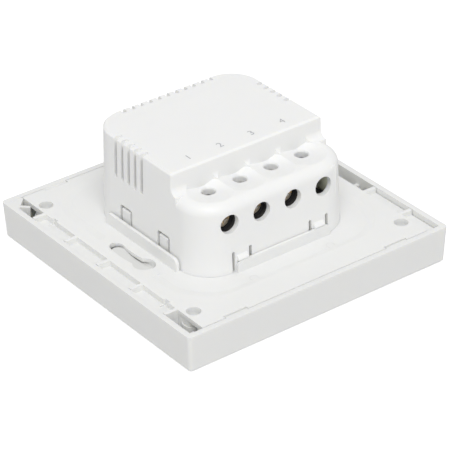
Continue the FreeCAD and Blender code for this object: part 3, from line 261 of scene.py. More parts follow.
@dataclass(frozen=True)
class Moulded(Finish):
    """Injection-moulded plastic with a fine spark-eroded grain."""

    colour: Colour
    roughness: float = 0.42
    grain: float = 0.14
    depth: float = 0.004
    mottle: float = 0.012
    coat: float = 0.0
    through: float = 0.0
    scatter: Colour = (1.0, 0.95, 0.78)
    scatter_depth: float = 1.3

    def paint(self, graph: Graph) -> None:
        """Write the finish's nodes.

        Args:
            graph: Node tree of its material.
        """
        place = graph.place()
        clouds = graph.noise(place, 9.0, 4.0)
        grain = graph.noise(place, self.grain, 2.0, 0.6)
        pits = graph.cells(place, self.grain * 2.6)
        graph.set(Base_Color=graph.blend(clouds, shade(self.colour, 1 - 2 * self.mottle), self.colour),
                  Roughness=graph.spread(grain * 0.6 + clouds * 0.4, self.roughness - 0.05, self.roughness + 0.06),
                  IOR=1.47, Coat_Weight=self.coat, Coat_Roughness=0.12, Subsurface_Weight=self.through,
                  Subsurface_Radius=self.scatter, Subsurface_Scale=self.scatter_depth * MM)
        graph.relief(grain * 0.7 + pits * 0.3, self.depth)


@dataclass(frozen=True)
class Clear(Finish):
    """Clear or milky resin."""

    colour: Colour
    roughness: float = 0.25
    transmission: float = 0.6

    def paint(self, graph: Graph) -> None:
        """Write the finish's nodes.

        Args:
            graph: Node tree of its material.
        """
        clouds = graph.noise(graph.place(), 0.8, 3.0)
        graph.set(Base_Color=graph.blend(clouds, self.colour, shade(self.colour, 1.04)), IOR=1.5,
                  Roughness=graph.spread(clouds, self.roughness - 0.05, self.roughness + 0.05),
                  Transmission_Weight=self.transmission)
        graph.relief(clouds, 0.003)


@dataclass(frozen=True)
class Plated(Finish):
    """Plated or plain metal with drawing lines and faint tarnish."""

    colour: Colour
    tarnish: Colour
    roughness: float = 0.28
    along: Axis = Axis.X
    line: float = 0.06

    def paint(self, graph: Graph) -> None:
        """Write the finish's nodes.

        Args:
            graph: Node tree of its material.
        """
        stretch = tuple(16.0 if part else 1.0 for part in self.along.value)
        lines = graph.noise(graph.mapped(scale=stretch), self.line, 2.0)
        stain = graph.noise(graph.place(), 1.1, 5.0, 0.65)
        mask = graph.between(stain, 0.48, 0.75)
        graph.set(Base_Color=graph.blend(mask, self.colour, self.tarnish), Metallic=1.0,
                  Roughness=graph.spread(lines, self.roughness - 0.08, self.roughness + 0.1) + mask * 0.12)
        graph.relief(lines, 0.003)


@dataclass(frozen=True)
class SolderMask(Finish):
    """Lacquered circuit board with tracks under the lacquer and bare laminate at its edge."""

    colour: Colour
    track: Colour
    laminate: Colour
    low: float
    high: float
    pitch: float = 1.9

    def paint(self, graph: Graph) -> None:
        """Write the finish's nodes.

        Args:
            graph: Node tree of its material.
        """
        place = graph.place()
        x, y, z = graph.parts(place)
        bend = graph.cells(place, self.pitch * 4.2, output=1)
        shift = graph.parts(bend)[0]
        lane = ((x + y * graph.between(shift, 0.45, 0.55, -1.0, 1.0)) / (self.pitch * MM) + shift * 3.0).fraction()
        tracks = 1.0 - graph.between((lane - 0.5).size(), 0.14, 0.18)
        fade = graph.between(graph.noise(place, 7.0, 2.0), 0.42, 0.5)
        tracks = tracks * fade
        weave = ((x / (0.25 * MM)).wave() * (y / (0.25 * MM)).wave()) * 0.5 + 0.5
        lacquer = graph.blend(tracks, self.colour, self.track)
        middle = (self.low + self.high) / 2
        edge = (z / MM - middle).size()
        rim = 1.0 - edge.above((self.high - self.low) / 2 - 0.02)
        bare = graph.blend(weave, self.laminate, shade(self.laminate, 0.86))
        graph.set(Base_Color=graph.blend(rim, lacquer, bare), Roughness=rim * 0.4 + 0.3 - tracks * 0.05,
                  IOR=1.5)
        graph.relief(tracks * 0.8 + weave * 0.1, 0.03)


@dataclass(frozen=True)
class Ferrite(Finish):
    """Fired ferrite: dull grey-black with a fine speckle and chipped pits."""

    colour: Colour

    def paint(self, graph: Graph) -> None:
        """Write the finish's nodes.

        Args:
            graph: Node tree of its material.
        """
        place = graph.place()
        speckle = graph.noise(place, 0.12, 4.0, 0.7)
        chips = graph.between(graph.cells(place, 0.9), 0.05, 0.16)
        pale = graph.between(speckle, 0.45, 0.65)
        graph.set(Base_Color=graph.blend(pale, self.colour, shade(self.colour, 1.7)),
                  Roughness=graph.spread(speckle, 0.55, 0.75), Metallic=0.15)
        graph.relief(speckle * 0.3 + chips * 0.7, 0.03)


@dataclass(frozen=True)
class Sleeved(Finish):
    """Shrink sleeve on an upright can, with a pale band down one side and a bright metal end."""

    colour: Colour
    band: Colour
    centre: Point
    radius: float
    top: float
    metal: Colour = (0.72, 0.73, 0.74)
    band_turn: float = 1.1
    band_half: float = 0.34

    def paint(self, graph: Graph) -> None:
        """Write the finish's nodes.

        Args:
            graph: Node tree of its material.
        """
        x, y, z = graph.parts(graph.mapped(centre=tuple(c * MM for c in self.centre)))
        angle = x.maths("ARCTAN2", y, x)
        band = 1.0 - (angle - self.band_turn).size().above(self.band_half)
        dash = ((z / (2.2 * MM)).fraction() - 0.5).size().above(0.2)
        reach = (x * x + y * y).power(0.5)
        end = z.above((self.top - 0.06) * MM) * (1.0 - reach.above(self.radius * 0.84 * MM))
        ripple = graph.noise(graph.mapped(scale=(1, 1, 5)), 0.7, 3.0)
        sleeve = graph.blend(band * (0.55 + dash * 0.45), self.colour, self.band)
        graph.set(Base_Color=graph.blend(end, sleeve, self.metal), Metallic=end,
                  Roughness=graph.spread(ripple, 0.24, 0.36))
        graph.relief(ripple, 0.02)


@dataclass(frozen=True)
class Taped(Finish):
    """Film tape wound in laps over a coil."""

    colour: Colour
    lap: float = 1.6

    def paint(self, graph: Graph) -> None:
        """Write the finish's nodes.

        Args:
            graph: Node tree of its material.
        """
        x, y, z = graph.parts(graph.place())
        lap = (z / (self.lap * MM) + (x + y) / (22 * MM)).fraction()
        edge = graph.between(lap, 0.0, 0.06)
        wrinkle = graph.noise(graph.mapped(scale=(1, 1, 0.4)), 0.9, 4.0)
        graph.set(Base_Color=graph.blend(edge * 0.7 + wrinkle * 0.3, shade(self.colour, 0.62), self.colour),
                  Roughness=graph.spread(wrinkle, 0.22, 0.34), Coat_Weight=0.3, Coat_Roughness=0.1)
        graph.relief(edge * 0.6 + wrinkle * 0.4, 0.05)


@dataclass(frozen=True)
class Fibre(Finish):
    """Pressed fibre sheet."""

    colour: Colour

    def paint(self, graph: Graph) -> None:
        """Write the finish's nodes.

        Args:
            graph: Node tree of its material.
        """
        first = graph.noise(graph.mapped(turn=(0, 0, 0.5), scale=(7, 1, 1)), 0.12, 3.0)
        second = graph.noise(graph.mapped(turn=(0, 0, -0.7), scale=(7, 1, 1)), 0.12, 3.0)
        strands = (first + second) * 0.5
        graph.set(Base_Color=graph.blend(graph.between(strands, 0.4, 0.6), shade(self.colour, 0.85), self.colour),
                  Roughness=graph.spread(strands, 0.7, 0.9))
        graph.relief(strands, 0.02)


@dataclass(frozen=True)
class Banded(Finish):
    """Lacquered resistor body with plain colour rings along Y."""

    colour: Colour
    rings: tuple[tuple[float, Colour], ...]
    width: float = 0.55

    def paint(self, graph: Graph) -> None:
        """Write the finish's nodes.

        Args:
            graph: Node tree of its material.
        """
        _, y, _ = graph.parts(graph.place())
        lacquer = graph.noise(graph.place(), 0.5, 3.0)
        paint: Any = self.colour
        for where, colour in self.rings:
            ring = 1.0 - (y - where * MM).size().above(self.width / 2 * MM)
            paint = graph.blend(ring, paint, colour)
        graph.set(Base_Color=graph.blend(lacquer * 0.08, paint, (0.9, 0.85, 0.8)),
                  Roughness=graph.spread(lacquer, 0.3, 0.42), Coat_Weight=0.2, Coat_Roughness=0.2)
        graph.relief(lacquer, 0.02)


@dataclass(frozen=True)
class Solder(Finish):
    """Bright solder with a slightly grainy skin."""

    colour: Colour = (0.70, 0.70, 0.69)

    def paint(self, graph: Graph) -> None:
        """Write the finish's nodes.

        Args:
            graph: Node tree of its material.
        """
        skin = graph.noise(graph.place(), 0.35, 4.0, 0.6)
        graph.set(Base_Color=graph.blend(skin, shade(self.colour, 0.72), self.colour), Metallic=1.0,
                  Roughness=graph.spread(skin, 0.2, 0.45))
        graph.relief(skin, 0.02)


@dataclass(frozen=True)
class Ink(Finish):
    """Pad-printed ink, thin and a little broken."""

    colour: Colour
    under: Colour

    def paint(self, graph: Graph) -> None:
        """Write the finish's nodes.

        Args:
            graph: Node tree of its material.
        """
        place = graph.place()
        breaks = graph.between(graph.noise(place, 0.16, 3.0, 0.7), 0.30, 0.42)
        graph.set(Base_Color=graph.blend(breaks, self.under, self.colour),
                  Roughness=graph.between(breaks, 0.0, 1.0, 0.42, 0.55))
        graph.relief(breaks, 0.004)


@dataclass
class Studio:
    """Camera at the photograph's angle, white floor, white surround and a soft lamp."""

    place: Point = (-0.32044, -0.43128, 0.33371)
    azimuth: float = -36.709
    elevation: float = 31.343
    roll: float = -1.090
    lens: float = 197.1
    sky: float = 0.615
    key_place: Point = (-0.50, -0.80, 1.32)
    key_power: float = 12.6
    floor_lift: float = 0.50
    key_size: float = 0.9
    floor_half: float = 3.0
    floor_tones: tuple[Colour, Colour] = ((0.71, 0.71, 0.71), (0.73, 0.73, 0.73))
    bounces: int = 24
    diffuse_bounces: int = 16

    def settings(self) -> None:
        """Show colours plainly and let light bounce deep into the holes."""
        scene = bpy.context.scene
        scene.view_settings.view_transform = "Standard"
        scene.cycles.max_bounces = self.bounces
        scene.cycles.diffuse_bounces = self.diffuse_bounces

    def camera(self) -> None:
        """Stand the camera where the photograph was taken from."""
        data = bpy.data.cameras.new("photo_camera")
        data.sensor_width = 36.0
        data.sensor_fit = "HORIZONTAL"
        data.lens = self.lens
        data.clip_start = 0.01
        data.clip_end = 20.0
        camera = bpy.data.objects.new("photo_camera", data)
        bpy.context.scene.collection.objects.link(camera)
        camera.matrix_world = Matrix.Translation(self.place)
        for angle, axis in ((self.azimuth, "Z"), (90.0 - self.elevation, "X"), (self.roll, "Z")):
            camera.matrix_world @= Matrix.Rotation(math.radians(angle), 4, axis)
        bpy.context.scene.camera = camera

    def world(self) -> None:
        """Light everything evenly, and show plain white to the camera, in gloss and through clear pieces."""
        graph = Graph("surround", world=True)
        seen, gloss, through = (graph.add("ShaderNodeLightPath", {}, {}, "Is %s Ray" % ray)
                                for ray in ("Camera", "Glossy", "Transmission"))
        graph.set(Color=(1.0, 1.0, 1.0), Strength=graph.between(seen + gloss + through, 0.0, 1.0, self.sky, 1.0))
        bpy.context.scene.world = graph.material

    def floor(self) -> None:
        """Lay a white floor that keeps a faint shadow."""
        bm = bmesh.new()
        bmesh.ops.create_grid(bm, x_segments=2, y_segments=2, size=self.floor_half)
        mesh = bpy.data.meshes.new("floor")
        bm.to_mesh(mesh)
        bm.free()
        floor = bpy.data.objects.new("floor", mesh)
        bpy.context.scene.collection.objects.link(floor)
        graph = Graph("floor_white")
        haze = graph.noise(graph.place(), 60.0, 2.0)
        graph.set(Base_Color=graph.blend(haze, *self.floor_tones), Roughness=0.9)
        plain = Signal(graph, graph.shader.outputs[0])
        rays = graph.add("ShaderNodeLightPath", {}, {}, "Is Camera Ray")
        glow = graph.add("ShaderNodeEmission", {}, {"Color": (1, 1, 1), "Strength": self.floor_lift})
        both = graph.add("ShaderNodeAddShader", {}, {0: plain, 1: glow})
        mixed = graph.add("ShaderNodeMixShader", {}, {0: rays, 1: plain, 2: both})
        graph.feed(graph.tree.nodes["Material Output"].inputs["Surface"], mixed)
        floor.data.materials.append(graph.material)

    def lamp(self) -> None:
        """Hang one square soft lamp that faces the object."""
        data = bpy.data.lights.new("key", "AREA")
        data.shape = "SQUARE"
        data.size = self.key_size
        data.energy = self.key_power
        lamp = bpy.data.objects.new("key", data)
        bpy.context.scene.collection.objects.link(lamp)
        lamp.location = self.key_place
        lamp.rotation_euler = (-Vector(self.key_place)).to_track_quat("-Z", "Y").to_euler()

    def build(self) -> None:
        """Set up the whole studio."""
        self.settings()
        self.camera()
        self.world()
        self.floor()
        self.lamp()
        log.info("studio ready")


FINISHES: dict[str, Finish] = {
    # The front frame and the mounting plate are set darker than the rear housing: painted shade on the frame's skirt
    # and flange and on the plate near the housing. The housing is set paler: painted light on its walls.
    "front_frame": Moulded((0.825, 0.827, 0.816), 0.36, 0.12, 0.003, through=0.35),
    "rocker": Moulded((0.875, 0.876, 0.868), 0.24, 0.2, 0.002, coat=0.25, through=0.35),
    "mounting_plate": Moulded((0.848, 0.85, 0.838), 0.44, through=0.35),
    "rear_housing": Moulded((0.885, 0.887, 0.878), 0.42, through=0.35),
    "button_carrier": Moulded((0.80, 0.80, 0.79), 0.5),
    "light_window": Clear((0.86, 0.88, 0.90)),
    "status_led": Clear((0.92, 0.93, 0.86), 0.15, 0.8),
    "tact_switch_body": Moulded((0.035, 0.035, 0.037), 0.5),
    "tact_switch_plunger": Moulded((0.05, 0.05, 0.052), 0.35),
    "board_plug": Moulded((0.03, 0.03, 0.032), 0.45),
    "board_socket": Moulded((0.035, 0.034, 0.034), 0.48),
    "terminal_block": Moulded((0.028, 0.028, 0.030), 0.46),
    "relay": Moulded((0.03, 0.031, 0.036), 0.38),
    "rectifier": Moulded((0.035, 0.035, 0.035), 0.52),
    "film_capacitor": Moulded((0.78, 0.60, 0.09), 0.34, coat=0.2),
    "varistor": Moulded((0.03, 0.09, 0.38), 0.3, 0.6, 0.02, coat=0.4),
    "control_board": SolderMask((0.02, 0.16, 0.06), (0.05, 0.27, 0.10), (0.52, 0.46, 0.26), 6.3, 7.3),
    "radio_module": SolderMask((0.012, 0.045, 0.20), (0.03, 0.09, 0.32), (0.50, 0.46, 0.30), 7.3, 8.1, 1.1),
    "power_board": SolderMask((0.13, 0.17, 0.05), (0.21, 0.26, 0.09), (0.50, 0.45, 0.24), 13.0, 14.6, 3.2),
    "transformer_core": Ferrite((0.055, 0.055, 0.058)),
    "inductor": Ferrite((0.06, 0.06, 0.062)),
    "transformer_bobbin": Taped((0.62, 0.42, 0.07)),
    "insulating_sheet": Fibre((0.74, 0.73, 0.68)),
    "radio_shield": Plated((0.72, 0.72, 0.72), (0.55, 0.54, 0.52), 0.3),
    "carrier_screws": Plated((0.66, 0.67, 0.69), (0.48, 0.47, 0.45), 0.3, Axis.Y),
    "terminal_contacts": Plated((0.78, 0.60, 0.28), (0.50, 0.34, 0.14), 0.3, Axis.Z),
    "input_capacitor": Sleeved((0.02, 0.022, 0.035), (0.34, 0.35, 0.38), (11.0, 16.2, 0.0), 4.0, 27.6),
    "output_capacitor": Sleeved((0.015, 0.085, 0.045), (0.55, 0.56, 0.50), (17.6, 8.4, 0.0), 3.15, 23.6),
    "fuse_resistor": Banded((0.30, 0.20, 0.12), ((-6.2, (0.45, 0.02, 0.02)), (-4.9, (0.02, 0.02, 0.02)),
                                                (-3.6, (0.02, 0.02, 0.02)), (-1.6, (0.70, 0.50, 0.12)))),
    "terminal_screw": Plated((0.80, 0.71, 0.58), (0.42, 0.34, 0.24), 0.33, Axis.Z),
    "wire_clamp": Plated((0.70, 0.69, 0.66), (0.50, 0.48, 0.44), 0.32, Axis.Y),
    "piece_solder": Solder(),
    "piece_tinned": Plated((0.74, 0.74, 0.73), (0.56, 0.55, 0.53), 0.3, Axis.Z),
    "piece_copper": Plated((0.72, 0.34, 0.16), (0.46, 0.20, 0.10), 0.28, Axis.Z, 0.04),
    "piece_chip": Moulded((0.03, 0.03, 0.032), 0.5),
    "piece_ceramic": Moulded((0.42, 0.30, 0.17), 0.4, 0.1, 0.006),
    "piece_ink": Ink((0.47, 0.47, 0.48), (0.84, 0.84, 0.83)),
    "piece_white": Moulded((0.862, 0.864, 0.853), 0.44, through=0.35),
    "piece_pin_mark": Moulded((0.80, 0.80, 0.79), 0.3, 0.1, 0.002, through=0.35),
    "piece_epoxy": Moulded((0.62, 0.46, 0.08), 0.2, 0.5, 0.02, coat=0.3),
    "piece_lacquer": Moulded((0.03, 0.09, 0.38), 0.3, 0.6, 0.02, coat=0.4),
    # Olive of white plastic in deep shade: painted shade for the block beside the fourth place.
    "piece_olive": Moulded((0.86, 0.87, 0.68), 0.5, 0.1, 0.003),
    # Darker white for the keyhole floors: painted shade of the deep slots.
    "piece_shelf": Moulded((0.72, 0.722, 0.71), 0.5, 0.1, 0.003),
    "piece_rubber": Moulded((0.04, 0.04, 0.042), 0.7, 0.1, 0.01),
    "piece_film": Taped((0.70, 0.52, 0.12), 1.1),
}


def grid(start: Pair, step: Pair, across: int, along: int) -> list[Pair]:
    """Places of a regular pattern, row by row."""
    return [(start[0] + step[0] * i, start[1] + step[1] * j) for j in range(along) for i in range(across)]


class Shape:
    """A mesh under construction, in millimetres."""

    CREASE = math.radians(35.0)

    def __init__(self) -> None:
        """Start empty."""
        self.bm = bmesh.new()

    def block(self, first: Point, last: Point, bevel: float = 0.0, segments: int = 2) -> None:
        """Add a block between two opposite corners, its edges bevelled.

        Args:
            first: One corner.
            last: The corner across from it.
            bevel: Width of the bevel.
            segments: Steps of the bevel.
        """
        size = [abs(b - a) for a, b in zip(first, last)]
        middle = Vector([(a + b) / 2 for a, b in zip(first, last)])
        made = bmesh.ops.create_cube(self.bm, size=1.0)["verts"]
        bmesh.ops.scale(self.bm, vec=size, verts=made)
        bmesh.ops.translate(self.bm, vec=middle, verts=made)
        if bevel:
            edges = list({edge for vert in made for edge in vert.link_edges})
            bmesh.ops.bevel(self.bm, geom=edges, offset=bevel, offset_type="OFFSET", segments=segments,
                            profile=0.5, affect="EDGES", material=-1)

    def bar(self, x: float, y: float, half: Pair, foot: float, top: float, bevel: float) -> None:
        """Add a block round an upright line, reaching half its width and depth to each side."""
        self.block((x - half[0], y - half[1], foot), (x + half[0], y + half[1], top), bevel)

    def border(self, low: Pair, high: Pair, foot: float, top: float, wide: float, bevel: float) -> None:
        """Add four bars just inside the edges of a rectangle.

        Args:
            low: Corner of the rectangle.
            high: The corner across from it.
            foot: Level of the bars' foot.
            top: Level of their top.
            wide: Width of the bars.
            bevel: Width of the bevel.
        """
        (x0, y0), (x1, y1) = low, high
        for first, last in (((x0, y0), (x1, y0 + wide)), ((x0, y1 - wide), (x1, y1)),
                            ((x0, y0), (x0 + wide, y1)), ((x1 - wide, y0), (x1, y1))):
            self.block((*first, foot), (*last, top), bevel)

    def turned(self, profile: Outline, centre: Point, axis: Axis = Axis.Z,
               steps: int = 28) -> None:
        """Turn a profile round an axis into a closed body.

        Args:
            profile: Points as radius and place along the axis; the first and last lie on the axis, or the
                profile closes on itself.
            centre: Where the axis starts.
            axis: Which way it points.
            steps: Steps of the full turn.
        """
        closed = profile[0] == profile[-1]
        points = list(profile[:-1] if closed else profile)
        turn = Vector((0, 0, 1)).rotation_difference(Vector(axis.value))
        earlier = set(self.bm.verts)
        verts = [self.bm.verts.new(Vector(centre) + turn @ Vector((radius, 0.0, along))) for radius, along in points]
        pairs = list(zip(verts, verts[1:])) + ([(verts[-1], verts[0])] if closed else [])
        edges = [self.bm.edges.new(pair) for pair in pairs]
        bmesh.ops.spin(self.bm, geom=verts + edges, cent=centre, axis=axis.value, dvec=(0, 0, 0),
                       angle=2 * math.pi, steps=steps, use_merge=True)
        made = [vert for vert in self.bm.verts if vert not in earlier]
        bmesh.ops.remove_doubles(self.bm, verts=made, dist=1e-4)

    def raised(self, faces: list[Any]) -> list[Any]:
        """Extrude faces into a closed body and give its new vertices."""
        grown = bmesh.ops.extrude_face_region(self.bm, geom=faces)["geom"]
        return [part for part in grown if isinstance(part, bmesh.types.BMVert)]

    def fence(self, inner: Outline, outer: Outline, low: float,
              high: float) -> None:
        """Raise a closed wall between two outlines of as many points each.

        Args:
            inner: Inner outline.
            outer: Outer outline.
            low: Level of its foot.
            high: Level of its top.
        """
        rings = [[self.bm.verts.new((x, y, low)) for x, y in line] for line in (inner, outer)]
        edges = [self.bm.edges.new((ring[i - 1], ring[i])) for ring in rings for i in range(len(ring))]
        band = bmesh.ops.bridge_loops(self.bm, edges=edges)["faces"]
        bmesh.ops.translate(self.bm, vec=(0.0, 0.0, high - low), verts=self.raised(band))

    def slab(self, top: Sequence[Point], low: float) -> None:
        """Stand a body on a level, with a flat top that may slope.

        Args:
            top: Corners of its top, once round.
            low: Level of its foot.
        """
        face = self.bm.faces.new([self.bm.verts.new(corner) for corner in top])
        for vert in self.raised([face]):
            vert.co.z = low

    def thread(self, radius: float, crest: float, pitch: float, start: Point, length: float,
               steps: int = 20) -> None:
        """Wind a thread ridge along Y.

        Args:
            radius: Radius of its foot, just inside the shank.
            crest: Radius of its crest.
            pitch: Rise of each turn.
            start: Where it begins on the axis.
            length: How far it runs.
            steps: Steps of each turn.
        """
        x, y, z = start
        foot, flat = 0.36 * pitch, 0.12 * pitch
        verts = [self.bm.verts.new((x + out, y + along, z))
                 for out, along in ((radius, -foot), (crest, -flat), (crest, flat), (radius, foot))]
        face = self.bm.faces.new(verts)
        turns = length / pitch
        count = int(steps * turns)
        bmesh.ops.spin(self.bm, geom=[face] + list(face.edges) + verts, cent=start, axis=(0, 1, 0),
                       dvec=(0, length / count, 0), angle=2 * math.pi * turns, steps=count, use_merge=False)

    def wire(self, points: Sequence[Point], radius: float, sides: int = 10) -> None:
        """Add a round wire along straight runs with mitred corners.

        Args:
            points: Its corners and ends.
            radius: Its radius.
            sides: Sides of its section.
        """
        line = [Vector(point) for point in points]
        ways = [(b - a).normalized() for a, b in zip(line, line[1:])]
        loops = []
        for i, point in enumerate(line):
            way = (ways[max(0, i - 1)] + ways[min(i, len(ways) - 1)]).normalized()
            turn = Vector((0, 0, 1)).rotation_difference(way).to_matrix().to_4x4()
            ring = bmesh.ops.create_circle(self.bm, cap_ends=False, segments=sides, radius=radius)["verts"]
            bmesh.ops.transform(self.bm, matrix=Matrix.Translation(point) @ turn, verts=ring)
            loops.append(ring)
        for first, second in zip(loops, loops[1:]):
            edges = [e for ring in (first, second) for e in {edge for v in ring for edge in v.link_edges}
                     if all(v in ring for v in e.verts)]
            bmesh.ops.bridge_loops(self.bm, edges=edges)
        for ring in (loops[0], loops[-1]):
            self.bm.faces.new(ring)

    def mesh(self, name: str) -> bpy.types.Mesh:
        """Close the shape as a mesh in metres, smooth but for its creases.

        Args:
            name: Name of the mesh.

        Returns:
            The mesh.
        """
        bmesh.ops.recalc_face_normals(self.bm, faces=self.bm.faces)
        bmesh.ops.scale(self.bm, vec=(MM, MM, MM), verts=self.bm.verts)
        for face in self.bm.faces:
            face.smooth = True
        for edge in self.bm.edges:
            edge.smooth = not (edge.is_manifold and edge.calc_face_angle(0.0) > self.CREASE)
        mesh = bpy.data.meshes.new(name)
        self.bm.to_mesh(mesh)
        self.bm.free()
        return mesh


class Palette:
    """Materials of the finishes, each made once."""

    def __init__(self) -> None:
        """Start with nothing made."""
        self.made: dict[str, bpy.types.Material] = {}

    def get(self, name: str) -> bpy.types.Material:
        """Material of a finish, made when it is first asked for.

        Args:
            name: Name of the finish.

        Returns:
            The material.
        """
        if name not in self.made:
            self.made[name] = FINISHES[name].material(name)
        return self.made[name]

    def dress(self) -> None:
        """Dress every solid of the frame; numbered ones share their finish."""
        for node, solid in sorted(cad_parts.items()):
            solid.data.materials.clear()
            solid.data.materials.append(self.get(node if node in FINISHES else node.rstrip("_0123456789")))
            log.info("dressed %s", node)


@dataclass
class Assembly:
    """Pieces that belong together and take their finishes from one palette."""

    palette: Palette

    def add(self, shape: Shape | bpy.types.Mesh, name: str, slot: Slot, finish: str,
            body: str = Body.SWITCH.value) -> None:
        """Stand a shape in the scene as a piece that rides on a body.

        Args:
            shape: Its shape, or its mesh in metres.
            name: Name of the piece.
            slot: Slot of the record; not used.
            finish: Name of its finish, without the leading "piece_".
            body: Body that carries it.
        """
        mesh = shape.mesh(name) if isinstance(shape, Shape) else shape
        mesh.materials.clear()
        mesh.materials.append(self.palette.get("piece_" + finish))
        piece = bpy.data.objects.new(name, mesh)
        bpy.context.scene.collection.objects.link(piece)
        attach(piece, body)
        log.info("made %s with %d faces on %s", name, len(mesh.polygons), body)


@dataclass
class Terminals(Assembly):
    """Threads and slot edges of the screws, ridges of the clamps, an olive block of painted shade and plain numbers.
    """

    poles: tuple[float, ...] = (-14.955, -5.285, 4.385, 14.055)
    level: float = 23.7
    head_face: float = -20.35
    shank: float = 1.2
    crest: float = 1.262
    pitch: float = 0.5
    thread_span: Pair = (-19.0, -15.8)
    slot_half: float = 0.39
    slot_gap: float = 0.42
    slot_reach: Pair = (1.8, 1.25)
    burr: float = 0.09
    clamp_back: float = -11.9
    ridge: float = 0.3
    ridge_reach: float = 1.9
    # Corners of the olive block of painted shade beside the fourth place.
    cover_low: Point = (16.755, -22.4, 19.9)
    cover_high: Point = (17.255, -15.2, 26.8)
    number_at: Pair = (-6.8, 35.0)
    number_size: float = 3.0
    print_depth: float = 0.012

    def threads(self) -> None:
        """Wind the threads."""
        start, end = self.thread_span
        for i, x in enumerate(self.poles[:3], 1):
            shape = Shape()
            shape.thread(self.shank - 0.05, self.crest, self.pitch, (x, start, self.level), end - start)
            self.add(shape, "screw_thread_%d" % i, Slot.SCREW, "tinned", Body.SCREW.value % i)

    def burrs(self) -> None:
        """Raise the bright edges along the cross and slot of each screw head."""
        front, back = self.head_face - self.burr, self.head_face + 0.05
        wide, tall = self.slot_reach
        for i, x in enumerate(self.poles[:3], 1):
            shape = Shape()
            for side, end in CORNERS:
                z, place = self.level + side * self.slot_half, x + side * self.slot_half
                shape.block((x + end * self.slot_gap, front, z - self.burr),
                            (x + end * wide, back, z + self.burr), 0.035)
                shape.block((place - self.burr, front, self.level + end * self.slot_gap),
                            (place + self.burr, back, self.level + end * tall), 0.035)
            self.add(shape, "screw_slot_burrs_%d" % i, Slot.SCREW, "tinned", Body.SCREW.value % i)

    def cover(self) -> None:
        """Olive block beside the fourth, empty place: painted shade, in place of the shaded white plastic behind
        that hole.
        """
        shape = Shape()
        shape.block(self.cover_low, self.cover_high, 0.12)
        self.add(shape, "spare_pole_painted_shade", Slot.AMBER, "olive")

    def ridges(self) -> None:
        """Press grip ridges into the back of each clamp."""
        for i, x in enumerate(self.poles[:3], 1):
            shape = Shape()
            for step in range(4):
                z = self.level - 1.5 + step
                shape.block((x - self.ridge_reach, self.clamp_back - 0.12, z - self.ridge / 2),
                            (x + self.ridge_reach, self.clamp_back + 0.2, z + self.ridge / 2), 0.08)
            self.add(shape, "clamp_ridges_%d" % i, Slot.CLAMP, "tinned", Body.CLAMP.value % i)

    def numbers(self) -> None:
        """Print a plain number over each terminal, near the edge of the top."""
        y, top = self.number_at
        for i, x in enumerate(self.poles, 1):
            curve = bpy.data.curves.new("number", "FONT")
            curve.body = str(i)
            curve.size = self.number_size * MM
            curve.extrude = self.print_depth * MM
            curve.align_x = "CENTER"
            curve.align_y = "CENTER"
            source = bpy.data.objects.new("number", curve)
            mesh = bpy.data.meshes.new_from_object(source)
            bpy.data.objects.remove(source)
            mesh.transform(Matrix.Translation((x * MM, y * MM, top * MM)))
            self.add(mesh, "terminal_number_%d" % i, Slot.BLACK, "ink")

    def build(self) -> None:
        """Make every piece of the terminals."""
        self.threads()
        self.burrs()
        self.cover()
        self.ridges()
        self.numbers()


